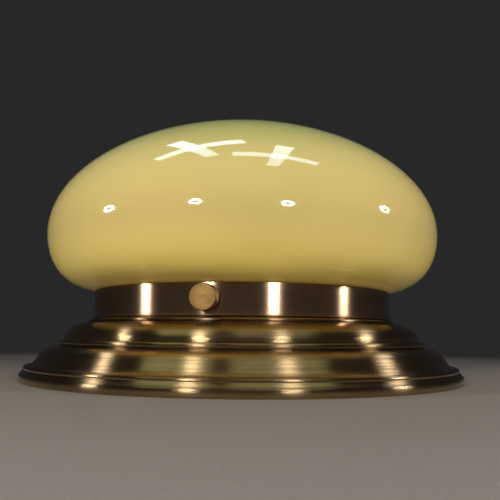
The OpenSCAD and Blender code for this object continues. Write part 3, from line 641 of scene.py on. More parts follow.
def block(name, low, high):
    """A box between two corners."""
    clear_selection()
    low, high = Vector(low), Vector(high)
    bpy.ops.mesh.primitive_cube_add(size=1, location=(low + high) / 2, scale=high - low)
    return settled(named(name))


def rod(name, at, height, radius, sides=TINY_STEPS, turn=(0, 0, 0)):
    """A straight rod that starts at a point and runs along its own Z."""
    clear_selection()
    bpy.ops.mesh.primitive_cylinder_add(vertices=sides, radius=radius, depth=height)
    piece = put(named(name), at=(0, 0, height / 2))
    return put(piece, at=at, turn=turn)


def applied(piece, kind, **values):
    """Adds a modifier with these values and applies it."""
    only(piece)
    modifier = piece.modifiers.new(kind.lower(), kind)
    for name, value in values.items():
        setattr(modifier, name, value)
    bpy.ops.object.modifier_apply(modifier=modifier.name)
    return piece


def bevelled(piece, width, segments=2, angle=40):
    limit = math.radians(angle)
    return applied(piece, "BEVEL", width=width, segments=segments, limit_method="ANGLE", angle_limit=limit)


def together(name, pieces):
    """Joins pieces into one."""
    only(*pieces)
    if len(pieces) > 1:
        bpy.ops.object.join()
    return named(name)


def combined(piece, other, operation):
    """A boolean of two solids, which uses up the second one."""
    applied(piece, "BOOLEAN", operation=operation, object=other, solver="EXACT")
    bpy.data.objects.remove(other)
    return piece


def cut(piece, *tools):
    return combined(piece, together("cutter", tools), "DIFFERENCE")


def copied(piece, at=(0, 0, 0), turn=(0, 0, 0)):
    name = piece.name
    only(piece)
    bpy.ops.object.duplicate(linked=False)
    return put(named(name), at=at, turn=turn)


def repeated(name, first, places):
    """A copy of a piece at each of these places, joined into one."""
    copies = [copied(first, at=place) for place in places[1:]]
    return together(name, [put(first, at=places[0]), *copies])


def spoked(first):
    """A copy of an upright piece for each thumbscrew, laid outwards along its axis."""
    middle = (0, 0, settings().thumbscrews.height)
    copies = [copied(first, at=middle, turn=spoke_turn(i)) for i in THREE[1:]]
    return [put(first, at=middle, turn=spoke_turn(1)), *copies]


def threaded(piece, low, high, pitch, depth, outer_r, sharp=True):
    """Moves the vertices between two heights in along a right-handed helix round the Z axis."""
    run_in = 0.4 * pitch
    for vertex in piece.data.vertices:
        x, y, z = vertex.co
        r = math.hypot(x, y)
        if r < CORE * outer_r or not low <= z <= high:
            continue
        phase = (z - low) / pitch - math.atan2(y, x) / FULL_TURN
        wave = abs(2 * (phase % 1) - 1) if sharp else 0.5 - 0.5 * math.cos(FULL_TURN * phase)
        ease = min(1, (z - low) / run_in, (high - z) / run_in)
        scale = (r - depth * wave * max(0, ease)) / r
        vertex.co = (x * scale, y * scale, z)
    return piece


def slotted(screw, half_width, low, high):
    """Cuts a screwdriver slot across a screw between two heights."""
    return cut(screw, block("slot", (-SLOT_REACH, -half_width, low), (SLOT_REACH, half_width, high)))


def hexagon_nut(name, height=NUT_H, bore_r=M4_R + FIT):
    """A nut with its foot at z = 0, its corners cut back at both faces, and a plain bore."""
    clear_selection()
    bpy.ops.mesh.primitive_cylinder_add(vertices=6, radius=NUT_R, depth=height)
    nut = put(settled(named(name)), at=(0, 0, height / 2), turn=(0, 0, math.pi / 6))
    back = 0.35 * MM
    face_r = NUT_R * math.cos(math.pi / 6)
    outline = [(0, 0), (face_r, 0), (NUT_R, back), (NUT_R, height - back), (face_r, height), (0, height)]
    combined(nut, turned("corner_cut", outline), "INTERSECT")
    cut(nut, rod("bore", (0, 0, -CUT), height + 2 * CUT, bore_r))
    return smooth(nut, 20)


def wire_run(name, route, radius):
    """A round wire on a smooth curve through a route of points."""
    clear_selection()
    bpy.ops.curve.primitive_nurbs_path_add()
    curve = named(name).data
    curve.splines.clear()
    spline = curve.splines.new("NURBS")
    spline.points.add(len(route) - 1)
    for point, place in zip(spline.points, route):
        point.co = (*place, 1)
    spline.order_u = 4
    spline.resolution_u = 8
    spline.use_endpoint_u = True
    curve.dimensions = "3D"
    curve.bevel_depth = radius
    curve.bevel_resolution = 3
    curve.use_fill_caps = True
    bpy.ops.object.convert(target="MESH")
    piece = named(name)
    edit_all(piece)
    bpy.ops.mesh.remove_doubles(threshold=MERGE)
    bpy.ops.mesh.normals_make_consistent(inside=False)
    return smooth(settled(piece), 40)


# Finishes


class Signal:
    """A value that varies over a surface; arithmetic on it adds Math nodes."""

    def __init__(self, paint, socket):
        self.paint = paint
        self.socket = socket

    def maths(self, operation, *values):
        return self.paint.add("Math", {"operation": operation}, dict(enumerate(values)))

    def alone(self, operation):
        return self.maths(operation, self)

    def __add__(self, other):
        return self.maths("ADD", self, other)

    def __sub__(self, other):
        return self.maths("SUBTRACT", self, other)

    def __rsub__(self, other):
        return self.maths("SUBTRACT", other, self)

    def __mul__(self, other):
        return self.maths("MULTIPLY", self, other)

    __radd__ = __add__
    __rmul__ = __mul__

    def swing(self, amount):
        """A noise as a gain or a loss: half of it is nothing."""
        return (self - 0.5) * amount

    def between(self, low, high):
        """0 below low, 1 above high, and smooth between."""
        values = {"Value": self, "From Min": low, "From Max": high}
        return self.paint.add("MapRange", {"interpolation_type": "SMOOTHSTEP"}, values)

    def near(self, place, width):
        """1 at a value and 0 a width away from it."""
        return 1 - (self - place).alone("ABSOLUTE").between(0, width)

    def rings(self, spacing):
        """Waves from -1 to 1, this far apart."""
        return (self * (FULL_TURN / spacing)).alone("SINE")


def distance(a, b):
    return (a * a + b * b).alone("SQRT")


def toned(shade, amount):
    """A colour made darker, or lighter, by an amount."""
    return tuple(min(1, v * amount) for v in shade)


class Paint:
    """A material whose nodes all come from add."""

    def __init__(self, name, **constants):
        self.material = bpy.data.materials.new(name + FINISH)
        self.material.use_nodes = True
        self.tree = self.material.node_tree
        self.shader = self.tree.nodes["Principled BSDF"]
        self.set(**constants)

    def set(self, **values):
        """Sets sockets of the shader, with words joined by an underscore."""
        for name, value in values.items():
            self.feed(self.shader.inputs[name.replace("_", " ")], value)

    def feed(self, socket, value):
        if isinstance(value, Signal):
            self.tree.links.new(value.socket, socket)
        elif hasattr(value, "__len__") and socket.type == "RGBA" and len(value) == 3:
            socket.default_value = (*value, 1)
        else:
            socket.default_value = value

    def add(self, kind, choices=None, values=None, out=0):
        """Adds a node with these choices, and these values or links at its sockets."""
        node = self.tree.nodes.new("ShaderNode" + kind)
        for name, value in (choices or {}).items():
            setattr(node, name, value)
        for key, value in (values or {}).items():
            self.feed(node.inputs[key], value)
        return Signal(self, node.outputs[out])

    def parts(self, where):
        """The x, y and z of a vector."""
        node = self.add("SeparateXYZ", values={0: where}).socket.node
        return [Signal(self, output) for output in node.outputs]

    def place(self):
        """Object coordinates as a vector and as x, y and z."""
        where = self.add("TexCoord", out="Object")
        return where, *self.parts(where)

    def noise(self, where, scale, detail=2, roughness=0.5):
        values = {"Vector": where, "Scale": scale, "Detail": detail, "Roughness": roughness}
        return self.add("TexNoise", {"noise_dimensions": "3D"}, values)

    def stretched(self, parts, scales, detail=2, roughness=0.5):
        """Noise with a scale of its own in each direction."""
        x, y, z = (part * scale for part, scale in zip(parts, scales))
        where = self.add("CombineXYZ", values={0: x, 1: y, 2: z})
        return self.noise(where, 1, detail, roughness)

    def mix(self, factor, first, second):
        choices = {"data_type": "RGBA", "clamp_factor": True}
        return self.add("Mix", choices, {0: factor, 6: first, 7: second}, out=2)

    def dent(self, height, strength, distance):
        return self.add("Bump", values={"Height": height, "Strength": strength, "Distance": distance})


def spun_metal(name, light, dark, shaded_creases, streak, gloss, wear, groove):
    """Brass worked round the lamp's axis: rings of fine marks, patches of tarnish, and painted shade along
    each crease.
    """
    paint = Paint(name, Metallic=1, Anisotropic=1, Anisotropic_Rotation=0.25)
    where, x, y, z = paint.place()
    along = z - distance(x, y)
    marks = paint.stretched((x, y, along), (9, 9, streak), 3, 0.6)
    bands = paint.stretched((x, y, along), (3, 3, 260))
    patches = paint.noise(where, 16, 4, 0.6)
    wear_and_painted_shade = bands.swing(0.9) + patches.swing(0.9) + marks.swing(1.9) + 0.34
    # Painted shade: the brass turns towards its tarnish colour in a band round each crease height
    for place, width in shaded_creases:
        wear_and_painted_shade = wear_and_painted_shade + z.near(place, width) * 0.55
    paint.set(Base_Color=paint.mix(wear_and_painted_shade, light, dark))
    paint.set(Roughness=gloss + (marks.swing(1.1) + (patches - 0.5)) * wear)
    fine = paint.stretched((x, y, along), (14, 14, 3800))
    paint.set(Normal=paint.dent(fine, 1, groove))
    return paint.material


def canopy_finish(name, c):
    s = settings().canopy
    foot = s.rim_h + s.ledge_h
    step = foot + s.skirt_h
    neck = step + s.step_h + s.dome_h
    # Painted shade in the canopy's crease lines: the height of each, and the width of its dark band
    shaded_creases = [
        (s.rim_h - 0.2 * MM, 0.5 * MM),
        (foot - 0.1 * MM, 0.5 * MM),
        (step + 0.2 * MM, 0.7 * MM),
        (step + s.step_h, 0.5 * MM),
        (neck, 0.6 * MM),
    ]
    rub = {"streak": 620, "gloss": 0.22, "wear": 0.12, "groove": 0.02 * MM}
    return spun_metal(name, c.canopy_light, c.canopy_dark, shaded_creases, **rub)


def collar_finish(name, c):
    # Painted shade in the bend at the collar's foot
    shaded_creases = [(settings().collar.foot_z, 1.2 * MM)]
    rub = {"streak": 900, "gloss": 0.21, "wear": 0.08, "groove": 0.006 * MM}
    return spun_metal(name, c.collar_light, c.collar_dark, shaded_creases, **rub)


def opal_finish(name, c):
    """Cased opal glass, cream yellow round the girth, with painted light: a lighter foot by the collar, and
    a darker, greener crown as painted shade.
    """
    paint = Paint(name, Roughness=0.045, IOR=1.5)
    where, x, y, z = paint.place()
    height = z + paint.noise(where, 11, 3).swing(6 * MM)
    # Painted light: lighter towards the collar; painted shade: darker and greener towards the crown
    opal_painted_light = paint.mix(height.between(56 * MM, 92 * MM), c.opal_foot_painted_light, c.opal_middle)
    opal_painted_light = paint.mix(height.between(110 * MM, 172 * MM), opal_painted_light, c.opal_crown_painted_shade)
    streaks = paint.stretched((x, y, z), (9, 9, 40)).between(0.35, 0.8) * 0.16
    paint.set(Base_Color=paint.mix(streaks, opal_painted_light, toned(c.opal_middle, 1.12)))
    wave = paint.noise(where, 24, 2, 0.4)
    paint.set(Normal=paint.dent(wave, 0.05, 0.4 * MM))
    return paint.material


def knob_finish(name, c, direction):
    """Turned brass with rings round the knob's own axis, and a painted highlight at the middle of its face.
    """
    paint = Paint(name, Metallic=1)
    where = paint.add("TexCoord", out="Object")
    own = paint.add("VectorRotate", {"rotation_type": "Z_AXIS"}, {"Vector": where, "Angle": -direction})
    out, side, up = paint.parts(own)
    up = up - settings().thumbscrews.height
    radius = distance(side, up)
    marks = paint.stretched((side, up, radius), (60, 60, 2600), 3, 0.6)
    sweep = paint.stretched((side, up, out), (180, 180, 40))
    worn = paint.noise(where, 160, 3, 0.6)
    wear_and_painted_shade = marks.swing(0.6) + sweep.swing(0.5) + worn.swing(0.6) + radius.rings(1.1 * MM) * 0.16
    # Painted highlight and shade: the face is lighter at its middle and darker towards its rim
    wear_and_painted_shade = wear_and_painted_shade + radius.between(1 * MM, 7.5 * MM) * 0.55 + 0.1
    paint.set(Base_Color=paint.mix(wear_and_painted_shade, c.knob, toned(c.knob, 0.62)))
    paint.set(Roughness=0.42 + marks.swing(0.22) + worn.swing(0.14))
    paint.set(Normal=paint.dent(radius.rings(0.33 * MM) * 0.5 + marks, 0.8, 0.02 * MM))
    return paint.material


def small_metal(name, shade, gloss):
    """Satin metal of the small parts, with faint mottling and handling marks."""
    paint = Paint(name, Metallic=1)
    where, x, y, z = paint.place()
    mottle = paint.noise(where, 240, 4, 0.65)
    drawn = paint.stretched((x, y, z), (120, 120, 3200), 2, 0.6)
    paint.set(Base_Color=paint.mix(mottle.swing(1.2) + drawn.swing(0.5) + 0.35, shade, toned(shade, 0.6)))
    paint.set(Roughness=gloss + mottle.swing(0.2) + drawn.swing(0.1))
    paint.set(Normal=paint.dent(mottle + drawn * 0.4, 0.12, 0.02 * MM))
    return paint.material


def moulded(name, shade, gloss, grain, depth=0.02 * MM, **constants):
    """A moulded, glazed or rubber surface with a fine skin."""
    paint = Paint(name, **constants)
    where = paint.add("TexCoord", out="Object")
    skin = paint.noise(where, grain, 3, 0.6)
    tint = paint.noise(where, 60, 3).between(0.3, 0.8) * 0.25
    paint.set(Base_Color=paint.mix(tint, shade, toned(shade, 0.84)))
    paint.set(Roughness=gloss + skin.swing(0.12))
    paint.set(Normal=paint.dent(skin, 0.2, depth))
    return paint.material


def insulation(name, shade):
    return moulded(name, shade, 0.32, 1400)


def frosted_finish(name, c):
    """Bulb glass, etched inside, so that the stem shows only as a shadow."""
    paint = Paint(name, IOR=1.5, Coat_Weight=0.6, Coat_Roughness=0.04, Transmission_Weight=0.25)
    where, _, _, z = paint.place()
    etch = paint.noise(where, 420, 3, 0.6)
    paint.set(Base_Color=paint.mix(z.between(60 * MM, 80 * MM), c.frost_low, c.frost_high))
    paint.set(Roughness=0.38 + etch.swing(0.1))
    return paint.material


FINISHES = {
    "spun_brass": canopy_finish,
    "brushed_brass": collar_finish,
    "opal_glass": opal_finish,
    "frosted_glass": frosted_finish,
    "bright_brass": lambda name, c: small_metal(name, c.turned, 0.3),
    "zinc_steel": lambda name, c: small_metal(name, c.steel, 0.34),
    "stud_steel": lambda name, c: small_metal(name, toned(c.steel, 0.9), 0.38),
    "bronze": lambda name, c: small_metal(name, c.bronze, 0.34),
    "cap_metal": lambda name, c: small_metal(name, c.cap, 0.27),
    "porcelain": lambda name, c: moulded(name, c.porcelain, 0.14, 70, 0.1 * MM, Coat_Weight=0.5),
    "black_rubber": lambda name, c: moulded(name, c.rubber, 0.72, 1500),
    "black_glass": lambda name, c: moulded(name, c.insulator, 0.1, 200),
    "clear_glass": lambda name, c: moulded(name, c.clear, 0.06, 300, Transmission_Weight=1, IOR=1.5),
    "block_plastic": lambda name, c: moulded(name, c.block, 0.42, 1200),
    "brown_wire": lambda name, c: insulation(name, c.live),
    "blue_wire": lambda name, c: insulation(name, c.neutral),
    "green_wire": lambda name, c: insulation(name, c.earth_green),
    "yellow_wire": lambda name, c: insulation(name, c.earth_yellow),
}


def finish(name):
    """The material of this name, made when it is first asked for."""
    return bpy.data.materials.get(name + FINISH) or FINISHES[name](name, settings().colours)


def done(piece, body, nodes, slot, material=None):
    """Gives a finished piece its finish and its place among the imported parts."""
    settled(piece)
    piece.data.materials.clear()
    piece.data.materials.append(material or finish(slot))
    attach(piece, body)
    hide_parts(*nodes)
    return piece


# Pieces


class MakeCanopy(bpy.types.Operator):
    """Spins the stepped canopy from brass sheet and drills its deck"""

    bl_idname = "ceiling_lamp.canopy"
    bl_label = "Canopy"

    def execute(self, context):
        c = settings().canopy
        skin = canopy_skin(c)
        canopy = turned("spun_canopy", skin + inset(skin, c.sheet)[::-1], BIG_STEPS, 28)
        low, deep = skin[-1].y - 3 * MM, 5 * MM
        holes = [rod("hole", (side * c.screw_x, 0, low), deep, M4_HOLE_R) for side in SIDES]
        rivet_r = settings().collar.rivet_r + FIT
        holes += [rod("hole", (x, y, low), deep, rivet_r) for x, y in rivet_places()]
        cut(canopy, *holes)
        done(smooth(canopy, 28), "base", ["canopy"], "spun_brass")
        return {"FINISHED"}


class MakeCollar(bpy.types.Operator):
    """Rolls the upright collar with its flange, its rivets and the bushes for the thumbscrews"""

    bl_idname = "ceiling_lamp.collar"
    bl_label = "Collar"

    def execute(self, context):
        self.band()
        self.rivets()
        self.bushes()
        return {"FINISHED"}

    def band(self):
        c, t = settings().collar, settings().thumbscrews
        inner_r, flange_r = c.outer_r - c.wall, c.outer_r - c.flange_w
        soft = 0.2 * MM
        bend = (c.outer_r - c.bend_r, c.foot_z + c.bend_r)
        edge = (c.outer_r - c.edge_r, c.top_z - c.edge_r)
        inner_edge = (inner_r + soft, c.top_z - soft)
        outline = joined(
            line((flange_r, c.foot_z), (bend[0], c.foot_z), 3 * MM),
            arc(bend, c.bend_r, -90, 0, 15),
            line((c.outer_r, bend[1]), (c.outer_r, edge[1]), 1.4 * MM),
            arc(edge, c.edge_r, 0, 90, 18),
            arc(inner_edge, soft, 90, 180, 30),
            line((inner_r, inner_edge[1]), (inner_r, bend[1]), 1.4 * MM),
            arc(bend, c.bend_r - c.wall, 0, -90, 30),
            line((bend[0], c.foot_z + c.wall), (flange_r, c.foot_z + c.wall), 3 * MM),
        )
        collar = turned("collar_band", outline, BIG_STEPS, 40)
        holes = []
        for i in THREE:
            at = outward(i, inner_r - 3 * MM, t.height)
            holes.append(rod("hole", at, 7 * MM, t.bush_r + FIT, 48, spoke_turn(i)))
        for x, y in rivet_places():
            holes.append(rod("hole", (x, y, c.foot_z - CUT), 4 * MM, c.rivet_r + FIT))
        cut(collar, *holes)
        done(smooth(collar, 40), "base", ["collar_ring"], "brushed_brass")

    def rivets(self):
        c = settings().collar
        under, head_foot = c.foot_z - settings().canopy.sheet, c.foot_z + c.wall
        r, low = c.rivet_head_r, under - c.rivet_head_h
        outline = joined(
            [(0, low), (0.6 * r, low)],
            bezier(6, (0.6 * r, low), (0.85 * r, low), (r, under - 0.5 * c.rivet_head_h), (r, under)),
            [(c.rivet_r, under), (c.rivet_r, head_foot)],
            oval((0, head_foot), r, c.rivet_head_h, range(0, 91, 10)),
        )
        first = turned("rivet", outline, TINY_STEPS)
        rivets = repeated("flange_rivets", first, [(x, y, 0) for x, y in rivet_places()])
        done(smooth(rivets), "base", ["collar_rivets"], "bright_brass")

    def bushes(self):
        c, t = settings().collar, settings().thumbscrews
        inner_r = c.outer_r - c.wall
        flange_out = math.sqrt(inner_r**2 - t.bush_flange_r**2) - FIT
        flange_in = flange_out - t.bush_flange_w
        end = c.outer_r + t.bush_proud
        bore, soft = t.stud_r + FIT, 0.2 * MM
        outline = [
            (bore, flange_in),
            (t.bush_flange_r - soft, flange_in),
            (t.bush_flange_r, flange_in + soft),
            (t.bush_flange_r, flange_out),
            (t.bush_r, flange_out),
            (t.bush_r, end - soft),
            (t.bush_r - soft, end),
            (bore + soft, end),
            (bore, end - soft),
        ]
        bushes = together("stud_bushes", spoked(turned("bush", outline, 48, 30)))
        done(smooth(bushes, 30), "base", ["thread_bushes"], "bright_brass")


class MakeThumbscrews(bpy.types.Operator):
    """Turns the three knobs and their threaded studs"""

    bl_idname = "ceiling_lamp.thumbscrews"
    bl_label = "Thumbscrews"

    def execute(self, context):
        for i, knob in zip(THREE, spoked(self.knob())):
            knob.name = knob.data.name = f"knob_{i}"
            brass = knob_finish(f"knob_brass_{i}", settings().colours, spoke(i))
            done(smooth(knob, 24), f"knob_{i}", [f"thumbscrew_knob_{i}"], "knob_brass", brass)
        for i, stud in zip(THREE, spoked(self.stud())):
            stud.name = stud.data.name = f"stud_{i}"
            done(smooth(stud, 50), f"stud_{i}", [f"thumbscrew_stud_{i}"], "stud_steel")
        return {"FINISHED"}

    def knob(self):
        """A bored knob, with a fine groove under its front bevel, a sunk face and a centre mark."""
        t = settings().thumbscrews
        face, back, b, r = t.knob_face, t.knob_back, t.knob_bevel, t.knob_r
        bore, bore_end = t.stud_r + FIT, t.stud_end + 0.3 * MM
        groove, sunk = 0.12 * MM, 0.03 * MM
        outline = joined(
            [(0, bore_end), (bore, bore_end), (bore, back)],
            line((bore + 0.25 * MM, back), (r - b, back), 1.2 * MM),
            arc((r - b, back + b), b, -90, 0, 22),
            line((r, back + b), (r, face - b), 1.2 * MM),
            [(r - groove, face - b + 0.05 * MM)],
            arc((r - b, face - b + sunk), b - sunk, 15, 90, 15),
            [(r - b - 0.18 * MM, face - sunk)],
            line((r - b - 0.3 * MM, face - sunk), (0.65 * MM, face - 0.02 * MM), 0.6 * MM),
            arc((0, face + 0.35 * MM), 0.62 * MM, -38, -90, 13),
        )
        return turned("knob", outline, SMALL_STEPS, 24)

    def stud(self):
        t = settings().thumbscrews
        tip, end, r, point = t.stud_tip, t.stud_end, t.stud_r, 0.4 * MM
        shank = line((r, tip + point), (r, end), t.pitch / 8)
        stud = turned("stud", joined([(0, tip), (r - point, tip)], shank, [(0, end)]), 36)
        return threaded(stud, tip + point, end - 0.2 * MM, t.pitch, t.thread_depth, r)


class MakeShade(bpy.types.Operator):
    """Blows the opal shade with its neck and lip"""

    bl_idname = "ceiling_lamp.shade"
    bl_label = "Shade"

    def execute(self, context):
        s, c = settings().shade, settings().collar
        lip, wall = shade_walls(s, c.outer_r - c.wall, c.top_z)
        lining = inset(wall, s.glass)
        lining[-1] = Vector((0, wall[-1].y - s.glass))
        # The outline starts and ends on the axis: down the lining, round the lip and up the outside.
        shade = turned("opal_shade", joined(lining[::-1], lip, wall), BIG_STEPS, 45)
        done(shade, "shade", ["glass_shade"], "opal_glass")
        return {"FINISHED"}


class MakeStrap(bpy.types.Operator):
    """Presses the ceiling strap and punches its slots and holes"""

    bl_idname = "ceiling_lamp.strap"
    bl_label = "Ceiling strap"

    def execute(self, context):
        s = settings().strap
        low, high = s.foot_z, s.foot_z + s.sheet
        half = [(s.end_x, 0), (s.raised_x + s.bend_w, 0), (s.raised_x, s.rise)]
        run = [(-x, z) for x, z in half] + half[::-1]
        side_view = [(x, low + z) for x, z in run] + [(x, high + z) for x, z in run[::-1]]
        strap = pressed("ceiling_strap", side_view, s.width)
        far, wide = s.end_x - s.corner, s.width / 2 - s.corner
        plan = []
        for x, y, start in ((far, wide, 0), (-far, wide, 90), (-far, -wide, 180), (far, -wide, 270)):
            plan += arc((x, y), s.corner, start, start + 90, 15)
        combined(strap, put(pressed("plan", plan, 60 * MM), turn=LAID_FLAT), "INTERSECT")
        bevelled(strap, 0.25 * MM, 2, 30)
        for tool in self.punches():
            cut(strap, tool)
        done(smooth(strap, 30), "base", ["mounting_strap"], "zinc_steel")
        return {"FINISHED"}

    def punches(self):
        """What is cut out of the strap: two slots at its ends, and the holes in its raised middle."""
        s = settings().strap
        reach = s.slot_len / 2 - s.slot_r
        punches = []
        for side in SIDES:
            x = side * s.slot_x
            punches += [rod("hole", (x + end * reach, 0, -CUT), 5 * MM, s.slot_r) for end in SIDES]
            punches.append(block("slot", (x - reach, -s.slot_r, -CUT), (x + reach, s.slot_r, 4 * MM)))
            punches.append(self.hole(side * settings().canopy.screw_x, 0, M4_HOLE_R))
            punches.append(self.hole(0, side * settings().holder.screw_y, M3_HOLE_R))
        punches.append(self.hole(s.inlet_x, 0, s.inlet_r + s.inlet_wall))
        punches.append(self.hole(s.earth_x, 0, M4_HOLE_R))
        punches.append(self.hole(block_middle(), settings().wiring.pole_pitch / 2, BLOCK_HOLE_R))
        return punches

    def hole(self, x, y, radius):
        return rod("hole", (x, y, 7 * MM), 6 * MM, radius)


class MakeFixings(bpy.types.Operator):
    """Makes the screws, lock nuts, washers and cap nuts that hold the canopy"""

    bl_idname = "ceiling_lamp.fixings"
    bl_label = "Canopy fixings"

    def execute(self, context):
        deck_z, washer_t = settings().collar.foot_z, 0.8 * MM
        self.bolts(deck_z + washer_t + 5 * MM)
        nuts = self.pair("bolt_lock_nuts", hexagon_nut("lock_nut"), strap_faces()[1])
        done(nuts, "base", ["strap_lock_nuts"], "zinc_steel")
        self.washers(deck_z, deck_z + washer_t)
        self.cap_nuts(deck_z + washer_t)
        return {"FINISHED"}

    def pair(self, name, first, z=0):
        """The same piece on both canopy screws."""
        return repeated(name, first, [(side * settings().canopy.screw_x, 0, z) for side in SIDES])

    def bolts(self, end):
        under, top = strap_faces()
        low, point = under - 2.6 * MM, 0.3 * MM
        outline = head_down(M4_R, 3.8 * MM, 0.8 * MM, low, under, end, M4_PITCH / 6, point)
        first = turned("bolt", outline, 32)
        threaded(first, top + 0.4 * MM, end - point, M4_PITCH, M4_THREAD, M4_R)
        slotted(first, 0.5 * MM, low - CUT, low + CUT)
        done(smooth(self.pair("canopy_bolts", first), 40), "base", ["canopy_screws"], "zinc_steel")

    def washers(self, low, high):
        r, soft = 4.5 * MM, 0.15 * MM
        outline = [(M4_HOLE_R, low), (r, low), (r, high - soft), (r - soft, high), (M4_HOLE_R, high)]
        washers = self.pair("deck_washers", turned("washer", outline, 48))
        done(washers, "base", ["canopy_washers"], "bright_brass")

    def cap_nuts(self, seat):
        height, dome_r = 8 * MM, 3.3 * MM
        shoulder = height - dome_r
        cap = hexagon_nut("cap_nut", shoulder, 0.3 * MM)
        dome = joined(
            [(0, shoulder - MM), (dome_r, shoulder - MM)],
            arc((0, shoulder), dome_r, 0, 80, 10),
            [(0, height)],
        )
        combined(cap, turned("dome", dome, 48), "UNION")
        cut(cap, rod("bore", (0, 0, -CUT), 5.5 * MM + CUT, M4_R + FIT))
        caps = self.pair("deck_cap_nuts", cap, seat)
        done(smooth(caps, 22), "base", ["canopy_cap_nuts"], "bright_brass")


class MakeInlet(bpy.types.Operator):
    """Moulds the rubber ring at the cable inlet"""

    bl_idname = "ceiling_lamp.inlet"
    bl_label = "Cable inlet"

    def execute(self, context):
        s = settings().strap
        under, top = strap_faces()
        hole_r = s.inlet_r + s.inlet_wall
        flange_r, t = hole_r + 2.4 * MM, 1.6 * MM
        soft, lip = 0.6 * MM, 0.3 * MM
        outline = joined(
            [(s.inlet_r, under - t + lip), (s.inlet_r + lip, under - t)],
            arc((flange_r - soft, under - t + soft), soft, -90, 0, 18),
            [(flange_r, under), (hole_r, under), (hole_r, top), (flange_r, top)],
            arc((flange_r - soft, top + t - soft), soft, 0, 90, 18),
            [(s.inlet_r + lip, top + t), (s.inlet_r, top + t - lip)],
        )
        ring = put(turned("inlet_grommet", outline, SMALL_STEPS, 40), at=(s.inlet_x, 0, 0))
        done(ring, "base", ["cable_grommet"], "black_rubber")
        return {"FINISHED"}


class MakeEarth(bpy.types.Operator):
    """Makes the earth screw, its nut and the crimped ring tag"""

    bl_idname = "ceiling_lamp.earth"
    bl_label = "Earth terminal"

    def execute(self, context):
        x = settings().strap.earth_x
        self.bolt(x)
        nut = put(hexagon_nut("earth_hex_nut"), at=(x, 0, strap_faces()[0] - NUT_H))
        done(nut, "base", ["earth_nut"], "zinc_steel")
        self.tag(x)
        return {"FINISHED"}

    def bolt(self, x):
        under, top = strap_faces()
        head_z, point = top + TAG_T, 0.3 * MM
        low, high = under - 3.8 * MM, head_z + 2.6 * MM
        outline = head_up(M4_R, 3.4 * MM, 0.5 * MM, low, head_z, high, M4_PITCH / 6, point, 15)
        bolt = turned("earth_bolt", outline, 32)
        threaded(bolt, low + point, under - 0.1 * MM, M4_PITCH, M4_THREAD, M4_R)
        slotted(bolt, 0.5 * MM, high - CUT, high + CUT)
        done(smooth(put(bolt, at=(x, 0, 0)), 40), "base", ["earth_screw"], "bright_brass")

    def tag(self, x):
        wire_r = settings().wiring.wire_r
        ring_r, half_neck, barrel_len = 3.8 * MM, 1.6 * MM, 5 * MM
        barrel_z = TAG_T / 2 + wire_r + TAG_WALL
        tag = rod("earth_tag", (0, 0, 0), TAG_T, ring_r, 48)
        combined(tag, block("neck", (-half_neck, 0, 0), (half_neck, BARREL_Y + MM, TAG_T)), "UNION")
        barrel = rod("barrel", (0, BARREL_Y, barrel_z), barrel_len, wire_r + TAG_WALL, turn=ALONG_Y)
        combined(tag, barrel, "UNION")
        cut(tag, rod("hole", (0, 0, -CUT), 3 * MM, M4_HOLE_R))
        bore_at = (0, BARREL_Y - CUT, barrel_z)
        cut(tag, rod("bore", bore_at, barrel_len + 2 * CUT, wire_r + 0.1 * MM, turn=ALONG_Y))
        put(tag, at=(x, 0, strap_faces()[1]))
        done(smooth(tag, 30), "base", ["earth_lug"], "zinc_steel")


